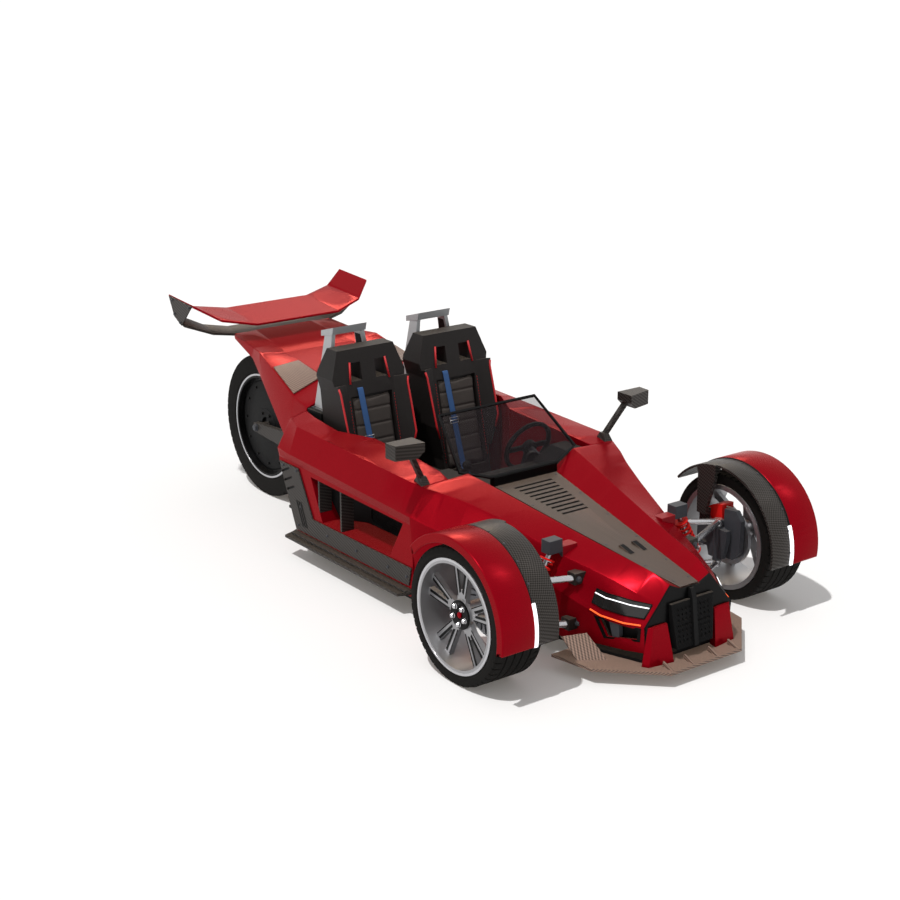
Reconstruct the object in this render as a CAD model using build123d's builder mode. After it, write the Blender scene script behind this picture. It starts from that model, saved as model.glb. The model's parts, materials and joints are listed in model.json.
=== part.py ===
from build123d import *
import os
from math import cos, hypot, radians, sin

# An open two-seat roadster trike: two steered wheels under mudguards in front, one wide wheel behind.
# Millimetres. X points forward, Y to the driver's left, Z up. The ground is at Z = 0.

# Clearances
seat_gap = 0.3
run_gap = 0.05
pivot_gap = 0.5
part_gap = 6

# Wheels
front_axle_x = 1313
front_tyre_radius = 326.5
front_tyre_width = 262
front_wheel_y = 843
front_bead_radius = 256
front_flange_radius = 271.6
rear_axle_x = -1435
rear_tyre_radius = 422
rear_tyre_width = 580
rear_sidewall = 126
flange_height = 16
bead_inset = 9
sidewall_bulge = 12
tread_rounding = 14
rear_rounding = 20
rim_wall = 8
hub_radius = 50
hub_cap_radius = 70
spindle_radius = 20
rear_spindle_radius = 22
spoke_count = 5
spoke_thickness = 26
spoke_recess = 50
disc_radius = 150
disc_thickness = 20

# Uprights and steering
kingpin_y = 690
upright_thickness = 30
upright_rise = 70
upright_drop = 115
upright_half_width = 72
boss_radius = 22
ball_pin_radius = 8
arm_eye_height = 32
steering_arm_length = 110
steering_arm_drop = 60

# Mudguards
guard_clearance = 50
guard_wall = 12
guard_lip = 32
guard_inner_y = 676
guard_split_y = 815
guard_outer_y = 1000
guard_step = 5
guard_front_angle = -8
guard_rear_angle = 139

# Floor, pods and shells
floor_bottom = 79
floor_thickness = 15
splitter_thickness = 15
body_wall = 14
cowl_x = 600
nose_front_x = 1810
pod_rear_x = -620
pod_inner_wall = 40
pod_side_y = 680
pod_foot_y = 660
pod_foot_z = 150
pod_tuck = 50
tie_hole_radius = 6

floor_top = floor_bottom + floor_thickness
front_axle_z = front_tyre_radius
rear_axle_z = rear_tyre_radius
rear_tyre_top = 2 * rear_tyre_radius
guard_radius = front_tyre_radius + guard_clearance + guard_wall
os.makedirs("parts", exist_ok=True)


def across(x):
    """Plane square to the length: its x runs to the left and its y upward."""
    return Plane(origin=(x, 0, 0), x_dir=(0, 1, 0), z_dir=(1, 0, 0))


def beside(y):
    """Plane square to the width: its x runs forward and its y upward. It faces right."""
    return Plane(origin=(0, y, 0), x_dir=(1, 0, 0), z_dir=(0, -1, 0))


def both(points):
    """A closed outline from its left half, listed from the top down."""
    return points + [(-y, z) for y, z in reversed(points)]


def both_sides(points):
    """A closed plan outline from its left half, listed along its edge."""
    return points + [(x, -y) for x, y in reversed(points)]


def between(rows, x):
    """The row of a section table at x, on the straight lines between its stations."""
    for low, high in zip(rows, rows[1:]):
        if min(low[0], high[0]) <= x <= max(low[0], high[0]):
            share = (x - low[0]) / (high[0] - low[0])
            return tuple(a + share * (b - a) for a, b in zip(low, high))
    raise ValueError(x)


def strip_on(start, end, low_share, high_share, low, high):
    """The section of a plate along the line from start to end, between two heights on its left-hand side."""
    start, end = Vector(*start), Vector(*end)
    along = end - start
    out = Vector(-along.Y, along.X).normalized()
    corners = []
    for share, height in ((low_share, low), (high_share, low), (high_share, high), (low_share, high)):
        corner = start + along * share + out * height
        corners.append((corner.X, corner.Y))
    return corners


def save(builder, name):
    """Labels the piece and writes it to a file of the same name."""
    builder.part.label = name
    export_step(builder.part, f"parts/{name}.step")


# Hood panel: a flat strip that slopes from the cowl to the mask and narrows on the way.
hood_rear_z = 602
hood_front_z = 409
hood_rear_y = 204
hood_front_y = 57
hood_panel_thickness = 6
hood_slope = (hood_front_z - hood_rear_z) / (nose_front_x - cowl_x)
hood_taper = (hood_front_y - hood_rear_y) / (nose_front_x - cowl_x)
hood_plane = Plane(
    origin=(cowl_x, 0, hood_rear_z - hood_panel_thickness),
    x_dir=(1, 0, hood_slope),
    z_dir=(-hood_slope, 0, 1),
)
hood_stretch = hypot(1, hood_slope)


def hood_z(x):
    return hood_rear_z - hood_panel_thickness + hood_slope * (x - cowl_x)


def hood_y(x):
    return hood_rear_y + hood_taper * (x - cowl_x)


# Front bodywork, left half.
# Columns: x, hump ridge y and z, shoulder y and z, lower ridge y and z, foot y and z.
nose_sections = [
    (cowl_x, 341, 684, 617, 669, 698, 532, 655, floor_top),
    (716, 320, 664, 566, 652, 645, 495, 610, floor_top),
    (824, 300, 643, 512, 629, 592, 470, 560, floor_top),
    (1000, 269, 607, 447, 585, 520, 437, 480, floor_top),
    (1300, 215, 548, 365, 492, 440, 370, 400, floor_top),
    (1480, 183, 514, 312, 456, 385, 305, 360, 110),
    (1600, 164, 494, 274, 426, 347, 270, 330, 122),
    (1720, 144, 472, 236, 392, 314, 264, 298, 128),
    (nose_front_x, 124, 434, 196, 348, 272, 262, 262, 134),
]


def nose_outline(x):
    row = between(nose_sections, x)
    return [(hood_y(x), hood_z(x)), row[1:3], row[3:5], row[5:7], row[7:9]]


with BuildPart() as nose_form:
    for row in nose_sections:
        with BuildSketch(across(row[0])):
            Polygon(*both(nose_outline(row[0])), align=None)
    loft(ruled=True)

# Openings in the flank: the lower intake behind the mask's corner, and a window for the track rod
lower_intake = [(1588, 256), (1785, 248), (1778, 196), (1626, 172)]
rod_window = 60
with BuildPart() as nose_shell:
    add(nose_form.part)
    for row in nose_sections:
        inner = [(y - body_wall, z - body_wall) for y, z in nose_outline(row[0])]
        with BuildSketch(across(row[0])):
            Polygon(*both(inner), align=None)
    loft(ruled=True, mode=Mode.SUBTRACT)
    with BuildSketch(beside(pod_side_y)):
        Polygon(*lower_intake, align=None)
        with Locations((front_axle_x - steering_arm_length, front_axle_z - steering_arm_drop)):
            Rectangle(rod_window, rod_window)
    extrude(amount=2 * pod_side_y, mode=Mode.SUBTRACT)
save(nose_shell, "nose_shell")

louvre_count = 10
louvre_pitch = 36
louvre_start = 95
louvre_width = 13
louvre_margin = 72
scoop_start = 800
scoop_length = 92
scoop_width = 30
scoop_height = 10
scoop_y = 40
with BuildPart() as hood_panel:
    hood_length = (nose_front_x - cowl_x) * hood_stretch
    with BuildSketch(hood_plane):
        Polygon(
            (0, hood_rear_y), (hood_length, hood_front_y), (hood_length, -hood_front_y), (0, -hood_rear_y),
            align=None,
        )
        for i in range(louvre_count):
            louvre_x = louvre_start + i * louvre_pitch
            with Locations((louvre_x, 0)):
                Rectangle(louvre_width, 2 * (hood_y(cowl_x + louvre_x) - louvre_margin), mode=Mode.SUBTRACT)
    extrude(amount=hood_panel_thickness)
    for side in (1, -1):
        with BuildSketch(Plane(hood_plane.from_local_coords((0, side * scoop_y + scoop_width / 2, 0)),
                               x_dir=hood_plane.x_dir, z_dir=(0, -1, 0))):
            Polygon(
                (scoop_start, 0), (scoop_start, hood_panel_thickness + scoop_height),
                (scoop_start + scoop_length, hood_panel_thickness), (scoop_start + scoop_length, 0),
                align=None,
            )
        extrude(amount=scoop_width)
save(hood_panel, "hood_panel")

# Black mask that closes the nose, open behind the grille
mask_thickness = 10
mask_front_x = nose_front_x + mask_thickness
grille_top_z = 346
grille_foot_z = 130
grille_border = 26
mask_hole_top_y = 100
mask_hole_foot_y = 84
with BuildPart() as nose_mask:
    with BuildSketch(across(nose_front_x)):
        Polygon(*both(nose_outline(nose_front_x)), align=None)
        Polygon(
            *both([
                (mask_hole_top_y, grille_top_z - grille_border),
                (mask_hole_foot_y, grille_foot_z + grille_border),
            ]),
            align=None, mode=Mode.SUBTRACT,
        )
    extrude(amount=mask_thickness)
save(nose_mask, "nose_mask")

# Grille: two pierced boxes that lean forward at the foot, and a post between them with its cap
grille_top_depth = 16
grille_foot_depth = 46
grille_top_y = 134
grille_foot_y = 112
grille_wall = 10
post_half_width = 13
post_proud = 12
post_top_z = 398
mesh_hole_radius = 9
mesh_pitch_y = 24
mesh_pitch_z = 25
mesh_columns = 4
mesh_rows = 7
with BuildPart() as front_grille:
    for side in (1, -1):
        for z, depth, outer_y in (
            (grille_foot_z, grille_foot_depth, grille_foot_y), (grille_top_z, grille_top_depth, grille_top_y),
        ):
            with BuildSketch(Plane.XY.offset(z)):
                Polygon(
                    (mask_front_x, 0), (mask_front_x + depth, 0), (mask_front_x + depth, side * outer_y),
                    (mask_front_x, side * outer_y),
                    align=None,
                )
        loft(ruled=True)
    with BuildSketch(across(mask_front_x)):
        for side in (1, -1):
            mesh_y = side * (post_half_width + grille_foot_y - grille_wall) / 2
            with Locations((mesh_y, (grille_top_z + grille_foot_z) / 2)):
                with GridLocations(mesh_pitch_y, mesh_pitch_z, mesh_columns, mesh_rows):
                    RegularPolygon(mesh_hole_radius, 6)
    extrude(amount=grille_foot_depth, mode=Mode.SUBTRACT)
    with BuildSketch(beside(post_half_width)):
        Polygon(
            (mask_front_x, grille_foot_z), (mask_front_x + grille_foot_depth + post_proud, grille_foot_z),
            (mask_front_x + grille_top_depth + post_proud, grille_top_z + post_proud),
            (mask_front_x + post_proud, post_top_z), (mask_front_x, post_top_z),
            align=None,
        )
    extrude(amount=2 * post_half_width)
save(front_grille, "front_grille")

# Engine bay end, needed by the floor
engine_gap = 53
engine_rear_x = rear_axle_x + rear_tyre_radius + engine_gap

# Floor pan, left half of its outline in x and y, with a jack pad under its middle.
floor_outline = [
    (nose_front_x, 250), (1600, 325), (1300, 400), (1000, 480), (824, 560), (716, 610), (cowl_x, 655),
    (-440, 655), (-650, 420), (engine_rear_x, 420),
]
tie_hole_x = 450
tie_hole_y = 380
jack_pad_x = -200
jack_pad_size = 160
jack_pad_height = 8
with BuildPart() as floor_pan:
    with BuildSketch(Plane.XY.offset(floor_bottom)):
        Polygon(*both_sides(floor_outline), align=None)
        with Locations((tie_hole_x, tie_hole_y), (tie_hole_x, -tie_hole_y)):
            Circle(tie_hole_radius, mode=Mode.SUBTRACT)
    extrude(amount=floor_thickness)
    with BuildSketch(Plane.XY.offset(floor_bottom - jack_pad_height)):
        with Locations((jack_pad_x, 0)):
            Rectangle(jack_pad_size, jack_pad_size)
    extrude(amount=jack_pad_height)
save(floor_pan, "floor_pan")

# Splitter, left half of its outline in x and y, with fins on its front edge and a dive plane on each side.
splitter_front_x = 1948
splitter_outline = [(splitter_front_x, 223), (1698, 481), (1465, 522), (1465, 340)]
fin_inset = 8
fin_height = 26
fin_thickness = 10
# Fins on each side. Columns: y, length.
fins = [(75, 66), (205, 66)]
dive_thickness = 6
dive_rise = 80
dive_front_z = floor_bottom - dive_thickness
dive_rear_z = floor_bottom + dive_rise
dive_front = [Vector(1596, 473, dive_front_z), Vector(1681, 360, dive_front_z)]
dive_rear = [Vector(1478, 478, dive_rear_z), Vector(1530, 366, dive_rear_z)]
with BuildPart() as splitter:
    with BuildSketch(Plane.XY.offset(floor_bottom - splitter_thickness)):
        Polygon(*both_sides(splitter_outline), align=None)
    extrude(amount=splitter_thickness)
    for fin_y, fin_length in fins:
        for y in (fin_y, -fin_y):
            fin_front_x = splitter_front_x - fin_inset
            with BuildSketch(beside(y + fin_thickness / 2)):
                Polygon(
                    (fin_front_x, floor_bottom), (fin_front_x - fin_length, floor_bottom),
                    (fin_front_x - fin_length, floor_bottom + fin_height),
                    align=None,
                )
            extrude(amount=fin_thickness)
    dive_x = (dive_front[1] - dive_front[0]).normalized()
    dive_plane = Plane(origin=dive_front[0], x_dir=dive_x, z_dir=dive_x.cross(dive_rear[0] - dive_front[0]))
    for side in (1, -1):
        with BuildSketch(dive_plane):
            corners = [dive_plane.to_local_coords(p) for p in (*dive_front, *reversed(dive_rear))]
            Polygon(*[(p.X, p.Y) for p in corners], align=None)
        dive = extrude(amount=dive_thickness, mode=Mode.PRIVATE)
        add(dive if side > 0 else mirror(dive, about=Plane.XZ, mode=Mode.PRIVATE))
save(splitter, "splitter")

# Red fangs between the mask's lower corners and the splitter
fang_top_z = 261
fang_foot = [(mask_front_x, 142), (mask_front_x + 48, 132), (mask_front_x + 30, 270), (mask_front_x, 290)]
fang_head = [(mask_front_x, 150), (mask_front_x + 12, 150), (mask_front_x + 16, 240), (mask_front_x, 258)]
with BuildPart() as nose_fangs:
    for outline, z in ((fang_foot, floor_bottom), (fang_head, fang_top_z)):
        with BuildSketch(Plane.XY.offset(z)):
            Polygon(*outline, align=None)
    loft(ruled=True)
    add(front_grille.part, mode=Mode.SUBTRACT)
    mirror(about=Plane.XZ)
save(nose_fangs, "nose_fangs")

# Headlamp lenses on the flanks.
# Columns: x, upper and lower edge as shares of the way from the shoulder to the lower ridge.
lens_rows = [(1545, 0.40, 0.80), (1600, 0.39, 0.80), (1720, 0.27, 0.76), (1795, 0.06, 0.66)]
lens_thickness = 7
lens_sunk = 5
with BuildPart() as headlamps:
    for x, top_share, low_share in lens_rows:
        row = between(nose_sections, x)
        with BuildSketch(across(x)):
            lens_section = strip_on(row[3:5], row[5:7], top_share, low_share, -lens_sunk, lens_thickness)
            Polygon(*lens_section, align=None)
    loft(ruled=True)
    add(nose_form.part, mode=Mode.SUBTRACT)
    mirror(about=Plane.XZ)
save(headlamps, "headlamps")

# Side pods, left. Columns: x, inner edge y and z, top ridge y and z, lower ridge y and z.
pod_sections = [
    (pod_rear_x, 505, 752, 605, 722, 690, 575),
    (-490, 530, 745, 645, 714, 698, 571),
    (-250, 545, 732, 645, 707, 698, 564),
    (-52, 446, 722, 644, 701, 698, 556),
    (325, 440, 706, 643, 690, 698, 542),
    (514, 447, 692, 643, 684, 698, 535),
    (cowl_x, 462, 677, 617, 669, 698, 532),
]
# Intake: its outline seen from the side, and the plan of its pocket, which steps out around the seat
intake = [(-311, 488), (-205, 262), (407, 272), (519, 472)]
pocket_rear_y = 590
pocket_front_y = 490
pocket_margin = 80
pocket_reach = pod_side_y + pocket_margin
pocket_plan = [
    (-330, pocket_reach), (-330, pocket_rear_y), (-250, pocket_rear_y), (-52, pocket_front_y),
    (540, pocket_front_y), (540, pocket_reach),
]
# The rear end slants forward below this point, from top to foot
pod_slant = [(pod_rear_x, 500), (-455, pod_foot_z), (-429, floor_top)]
with BuildPart() as pod_form:
    for x, in_y, in_z, top_y, top_z, low_y, low_z in pod_sections:
        with BuildSketch(across(x)):
            Polygon(
                (in_y, floor_top), (in_y, in_z), (top_y, top_z), (low_y, low_z),
                (pod_side_y, low_z - pod_tuck), (pod_side_y, pod_foot_z), (pod_foot_y, pod_foot_z),
                (pod_foot_y, floor_top),
                align=None,
            )
    loft(ruled=True)
    with BuildSketch(beside(pocket_reach)):
        Polygon(*pod_slant, (pod_rear_x, floor_top), align=None)
    extrude(amount=pocket_reach, mode=Mode.SUBTRACT)

with BuildPart() as intake_pocket:
    with BuildSketch():
        Polygon(*pocket_plan, align=None)
    extrude(amount=rear_tyre_top)
    with BuildSketch(beside(pocket_reach)):
        Polygon(*intake, align=None)
    extrude(amount=pocket_reach, mode=Mode.INTERSECT)

for side, name in ((1, "left"), (-1, "right")):
    with BuildPart() as side_pod:
        add(pod_form.part)
        add(intake_pocket.part, mode=Mode.SUBTRACT)
        if side < 0:
            mirror(about=Plane.XZ, mode=Mode.REPLACE)
    save(side_pod, f"side_pod_{name}")

# Carbon vanes standing in the pod intakes
vane_thickness = 14
vane_depth = 76
vane_x = [-235, -30]
with BuildPart() as pod_vanes:
    for x in vane_x:
        with BuildSketch(beside(pod_side_y)):
            with Locations((x, intake[0][1])):
                Rectangle(vane_thickness, 2 * intake[0][1])
            offset(Polygon(*intake, align=None, mode=Mode.PRIVATE), amount=-seat_gap, mode=Mode.INTERSECT)
        extrude(amount=vane_depth)
    mirror(about=Plane.XZ)
save(pod_vanes, "pod_vanes")

# Carbon trims on the pod sides: a rear post with slanted louvres, and a sill
trim_thickness = 8
trim_outline = [(-610, 505), (-423, 505), (-290, 258), (595, 262), (575, 165), (-456, 160)]
# Louvres in the rear post. Columns: x and z of the middle.
trim_louvres = [(-548, 470), (-524, 425), (-500, 380)]
trim_louvre_length = 80
trim_louvre_width = 12
trim_louvre_angle = 25
with BuildPart() as sill_trims:
    with BuildSketch(beside(pod_side_y)):
        Polygon(*trim_outline, align=None)
        with Locations(*trim_louvres):
            Rectangle(trim_louvre_length, trim_louvre_width, rotation=trim_louvre_angle, mode=Mode.SUBTRACT)
    extrude(amount=-trim_thickness)
    mirror(about=Plane.XZ)
save(sill_trims, "sill_trims")

# Boards along the foot of the pods. Columns: bottom z, thickness, outer y, rear x, front x.
board_taper = 25
boards = [(128, 12, 705, -500, 590), (106, 14, 730, -530, 560)]
with BuildPart() as side_boards:
    for z, thickness, outer_y, rear_x, front_x in boards:
        with BuildSketch(Plane.XY.offset(z)):
            Polygon(
                (rear_x, pod_foot_y), (front_x, pod_foot_y), (front_x - board_taper, outer_y),
                (rear_x + board_taper, outer_y),
                align=None,
            )
        extrude(amount=thickness)
    mirror(about=Plane.XZ)
save(side_boards, "side_boards")

# Bulkhead behind the seats, with the deck that carries the hoops
bulkhead_front_x = -485
bulkhead_half_width = 495
bulkhead_top_z = 760
with BuildPart() as bulkhead:
    with BuildSketch(Plane.XY.offset(floor_top)):
        with Locations(((pod_rear_x + bulkhead_front_x) / 2, 0)):
            Rectangle(bulkhead_front_x - pod_rear_x, 2 * bulkhead_half_width)
    extrude(amount=bulkhead_top_z - floor_top)
save(bulkhead, "bulkhead")

# Tail, left half. Columns: x, inner shoulder y and z, ridge y and z, lower edge y and z.
tail_rear_x = -1650
tail_sections = [
    (pod_rear_x, 260, 850, 497, 762, 560, 480),
    (-793, 262, 858, 475, 778, 527, 536),
    (-1258, 225, rear_tyre_top + 53, 400, rear_tyre_top + 74, 404, rear_tyre_top - 61),
    (-1395, 212, rear_tyre_top + 71, 365, rear_tyre_top + 72, 369, rear_tyre_top + 8),
    (tail_rear_x, 190, rear_tyre_top + 102, 339, rear_tyre_top + 94, 335, rear_tyre_top + 68),
]
tail_wall = 16
tail_opening = 300
with BuildPart() as tail_shell:
    for x, in_y, in_z, ridge_y, ridge_z, low_y, low_z in tail_sections:
        with BuildSketch(across(x)):
            Polygon(*both([(in_y, in_z), (ridge_y, ridge_z), (low_y, low_z)]), align=None)
    loft(ruled=True)
    for x, in_y, in_z, ridge_y, ridge_z, low_y, low_z in tail_sections:
        inside = [(in_y, in_z), (ridge_y, ridge_z), (low_y, low_z), (low_y, low_z - tail_opening)]
        with BuildSketch(across(x - tail_wall if x == pod_rear_x else x)):
            Polygon(*both([(y - tail_wall, z - tail_wall) for y, z in inside]), align=None)
    loft(ruled=True, mode=Mode.SUBTRACT)
save(tail_shell, "tail_shell")

# Carbon panels on the shoulders of the tail
tail_panel_x = [-810, -1090]
tail_panel_thickness = 8
tail_panel_margin = 0.06
with BuildPart() as tail_panels:
    for x in tail_panel_x:
        row = between(tail_sections, x)
        share = tail_panel_margin
        with BuildSketch(across(x)):
            panel_section = strip_on(row[1:3], row[3:5], share, 1 - share, seat_gap, tail_panel_thickness)
            Polygon(*panel_section, align=None)
    loft(ruled=True)
    mirror(about=Plane.XZ)
save(tail_panels, "tail_panels")

# Engine, one plain block ahead of the rear wheel
engine_front_x = pod_rear_x - tail_wall - part_gap
engine_half_width = 250
engine_top_z = 690
with BuildPart() as engine:
    with BuildSketch(Plane.XY.offset(floor_top)):
        with Locations(((engine_front_x + engine_rear_x) / 2, 0)):
            Rectangle(engine_front_x - engine_rear_x, 2 * engine_half_width)
    extrude(amount=engine_top_z - floor_top)
save(engine, "engine")

# Swing arms from the engine to the rear axle, which is fixed between them
arm_thickness = 34
arm_side_gap = 15
arm_inner_y = rear_tyre_width / 2 + arm_side_gap
arm_outer_y = arm_inner_y + arm_thickness
arm_root_height = 60
arm_end_height = 26
arm_bridge = 30
with BuildPart() as swingarm:
    with BuildSketch(beside(arm_outer_y)):
        with Locations((0, rear_axle_z)):
            Polygon(
                (engine_rear_x, -arm_root_height), (engine_rear_x, arm_root_height),
                (rear_axle_x - arm_end_height, arm_end_height),
                (rear_axle_x - arm_end_height, -arm_end_height),
                align=None,
            )
    extrude(amount=arm_thickness)
    mirror(about=Plane.XZ)
    with BuildSketch(across(engine_rear_x)):
        with Locations((0, rear_axle_z)):
            Rectangle(2 * arm_outer_y, 2 * arm_root_height)
    extrude(amount=-arm_bridge)
    with BuildSketch(beside(arm_outer_y)):
        with Locations((rear_axle_x, rear_axle_z)):
            Circle(rear_spindle_radius)
    extrude(amount=2 * arm_outer_y)
save(swingarm, "swingarm")

# Rear wing, left half from the tip inward. Columns: y, front x and z, rear x and z, of the upper face.
wing_tip_y = 600
wing_upper = [
    (wing_tip_y, -1643, rear_tyre_top + 302, -1946, rear_tyre_top + 320),
    (475, -1545, rear_tyre_top + 221, -1900, rear_tyre_top + 240),
    (280, -1476, rear_tyre_top + 185, -1833, rear_tyre_top + 216),
]
wing_lower = [
    (wing_tip_y, -1773, rear_tyre_top + 166, -1888, rear_tyre_top + 214),
    (450, -1700, rear_tyre_top + 111, -1820, rear_tyre_top + 141),
    (300, tail_rear_x, rear_tyre_top + 94, -1790, rear_tyre_top + 114),
]
wing_thickness = 14
for rows, name in ((wing_upper, "wing_main"), (wing_lower, "wing_lower")):
    with BuildPart() as wing:
        for y, front_x, front_z, rear_x, rear_z in rows + [(-row[0], *row[1:]) for row in reversed(rows)]:
            with BuildSketch(beside(y)):
                Polygon(
                    (front_x, front_z), (rear_x, rear_z),
                    (rear_x, rear_z - wing_thickness), (front_x, front_z - wing_thickness),
                    align=None,
                )
        loft(ruled=True)
    save(wing, name)

plate_thickness = 8
plate_inset = 16
with BuildPart() as wing_endplates:
    upper_tip = wing_upper[0]
    lower_tip = wing_lower[0]
    with BuildSketch(beside(wing_tip_y)):
        Polygon(
            (upper_tip[1] - plate_inset, upper_tip[2] - wing_thickness / 2),
            (upper_tip[3] + plate_inset, upper_tip[4] - wing_thickness / 2),
            (lower_tip[3] + plate_inset, lower_tip[4] - wing_thickness),
            (lower_tip[1] - plate_inset, lower_tip[2] - wing_thickness / 2),
            align=None,
        )
    extrude(amount=-plate_thickness)
    mirror(about=Plane.XZ)
save(wing_endplates, "wing_endplates")

# Seats: side profile, bolsters, the front outline that trims them, the recesses for the pads, and belt slots
seat_y = 280
seat_half_width = 232
seat_top_z = 1119
seat_back_foot = Vector(-190, 0, 318)
seat_back_top = Vector(-375, 0, seat_top_z)
cushion_front = Vector(250, 0, 352)
seat_profile = [
    (seat_back_top.X, seat_top_z), (-470, seat_top_z), (-500, 1000), (-390, floor_top), (255, floor_top),
    (285, 330), (cushion_front.X, cushion_front.Z), (seat_back_foot.X, seat_back_foot.Z),
]
# Front outline, half. Columns: y from the middle of the seat, z.
seat_front = [(180, seat_top_z), (seat_half_width, 975), (215, 900), (212, 640), (155, 440), (155, floor_top)]
# Bolsters on the back. Columns: distance up the back, how far they stand out at the side.
bolsters = [(165, 92), (640, 40)]
bolster_inner_y = 150
bolster_root = 20
pad_half_width = 131
pad_low = 70
pad_high = 571
pad_depth = 32
pad_sunk = 8
cushion_half_width = 118
cushion_rear = 75
cushion_front_edge = 415
slot_y = 80
slot_width = 70
slot_z = 1000
slot_height = 94
seat_reach = 2 * (seat_profile[5][0] - seat_profile[2][0])
# Pads of a seat. Columns: plane, half width, near end, far end.
seat_pad_rows = {}
for side, name in ((1, "left"), (-1, "right")):
    seat_middle = Vector(0, side * seat_y, 0)
    back_along = seat_back_top - seat_back_foot
    cushion_along = cushion_front - seat_back_foot
    back_plane = Plane(
        origin=seat_back_foot + seat_middle, x_dir=(0, 1, 0), z_dir=Vector(0, 1, 0).cross(back_along),
    )
    cushion_plane = Plane(
        origin=seat_back_foot + seat_middle, x_dir=(0, -1, 0), z_dir=cushion_along.cross(Vector(0, 1, 0)),
    )
    seat_pad_rows[name] = [
        (back_plane, pad_half_width, pad_low, pad_high),
        (cushion_plane, cushion_half_width, cushion_rear, cushion_front_edge),
    ]
    with BuildPart() as seat:
        with BuildSketch(beside(side * seat_y)):
            Polygon(*seat_profile, align=None)
        extrude(amount=seat_half_width, both=True)
        for way in (1, -1):
            for height, proud in bolsters:
                bolster_plane = Plane(
                    origin=back_plane.from_local_coords((0, height, 0)), x_dir=(0, 1, 0), z_dir=back_along,
                )
                with BuildSketch(bolster_plane):
                    Polygon(
                        (way * bolster_inner_y, bolster_root), (way * bolster_inner_y, 0),
                        (way * seat_half_width, -proud), (way * seat_half_width, bolster_root),
                        align=None,
                    )
            loft(ruled=True)
        with BuildSketch(across(seat_profile[2][0])):
            Polygon(*[(side * seat_y + y, z) for y, z in both(seat_front)], align=None)
        extrude(amount=seat_reach, mode=Mode.INTERSECT)
        for plane, half_width, near, far in seat_pad_rows[name]:
            with BuildSketch(plane):
                with Locations((0, (near + far) / 2)):
                    Rectangle(2 * half_width, far - near)
            extrude(amount=-pad_depth, mode=Mode.SUBTRACT)
        with BuildSketch(across(seat_profile[2][0])):
            with Locations((side * seat_y - slot_y, slot_z), (side * seat_y + slot_y, slot_z)):
                Rectangle(slot_width, slot_height)
        extrude(amount=seat_reach, mode=Mode.SUBTRACT)
    save(seat, f"seat_{name}")

with BuildPart() as seat_pads:
    for rows in seat_pad_rows.values():
        for plane, half_width, near, far in rows:
            with BuildSketch(plane.offset(-pad_depth + seat_gap)):
                with Locations((0, (near + far) / 2)):
                    Rectangle(2 * (half_width - seat_gap), far - near - 2 * seat_gap)
            extrude(amount=pad_depth - pad_sunk)
save(seat_pads, "seat_pads")

# Roll hoops on the bulkhead: a beam on two leaning legs behind each seat
hoop_top_z = 1208
hoop_beam = [(-515, 0), (-634, -36), (-634, -66), (-525, -42)]
hoop_half_width = 108
leg_thickness = 24
leg_top_drop = 40
# Legs. Columns: z, rear x, front x, distance of the middle from the middle of the seat.
hoop_legs = [(bulkhead_top_z, -618, -489, 158), (hoop_top_z - leg_top_drop, -600, -535, 92)]
with BuildPart() as roll_hoops:
    with BuildSketch(beside(seat_y + hoop_half_width)):
        Polygon(*[(x, hoop_top_z + z) for x, z in hoop_beam], align=None)
    extrude(amount=2 * hoop_half_width)
    for way in (1, -1):
        for z, rear_x, front_x, leg_y in hoop_legs:
            with BuildSketch(Plane.XY.offset(z)):
                with Locations(((rear_x + front_x) / 2, seat_y + way * leg_y)):
                    Rectangle(front_x - rear_x, leg_thickness)
        loft(ruled=True)
    mirror(about=Plane.XZ)
save(roll_hoops, "roll_hoops")

# Dashboard, filling the cowl above the footwell
dash_rear_x = 430
dash_bottom_z = 480
dash_top_z = 664
dash_half_width = 436
dash_outline = [
    (hood_rear_y, hood_rear_z - hood_panel_thickness), (330, dash_top_z), (dash_half_width, dash_top_z),
    (dash_half_width, dash_bottom_z),
]
with BuildPart() as dashboard:
    with BuildSketch(across(dash_rear_x)):
        Polygon(*both(dash_outline), align=None)
    extrude(amount=cowl_x - dash_rear_x)
save(dashboard, "dashboard")

# Windscreen in its own plane: x to the left, y up the glass
screen_foot = (628, 641)
screen_head = (325, 903)
screen_length = hypot(screen_head[0] - screen_foot[0], screen_head[1] - screen_foot[1])
screen_plane = Plane(
    origin=(screen_foot[0], 0, screen_foot[1]),
    x_dir=(0, 1, 0),
    z_dir=(screen_head[1] - screen_foot[1], 0, screen_foot[0] - screen_head[0]),
)
glass_thickness = 5
frame_width = 12
frame_thickness = 12
glass_outline = [(307, screen_length), (365, 72), (215, frame_width)]
frame_outline = [(312, screen_length + frame_width), (379, 68), (219, 0)]
with BuildPart() as windscreen:
    with BuildSketch(screen_plane):
        Polygon(*both(glass_outline), align=None)
    extrude(amount=glass_thickness / 2, both=True)
save(windscreen, "windscreen")

# The frame, with the strip that closes the gap between the glass and the hood
strip_gap = 2
strip_lip = 8
strip_crown = 3
strip_rear_x = cowl_x + strip_gap
strip_front_x = screen_foot[0] + strip_lip
strip_rise = hood_panel_thickness * hood_stretch
with BuildPart() as windscreen_frame:
    with BuildSketch(screen_plane):
        Polygon(*both(frame_outline), align=None)
        glass_face = Polygon(*both(glass_outline), align=None, mode=Mode.PRIVATE)
        offset(glass_face, amount=seat_gap, mode=Mode.SUBTRACT)
    extrude(amount=frame_thickness / 2, both=True)
    with BuildSketch(beside(hood_rear_y)):
        Polygon(
            (strip_rear_x, hood_z(strip_rear_x) + strip_rise),
            (strip_front_x, hood_z(strip_front_x) + strip_rise), (strip_front_x, screen_foot[1]),
            (screen_foot[0], screen_foot[1] + strip_crown),
            (strip_rear_x, screen_foot[1] - frame_width),
            align=None,
        )
    extrude(amount=2 * hood_rear_y)
save(windscreen_frame, "windscreen_frame")

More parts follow.
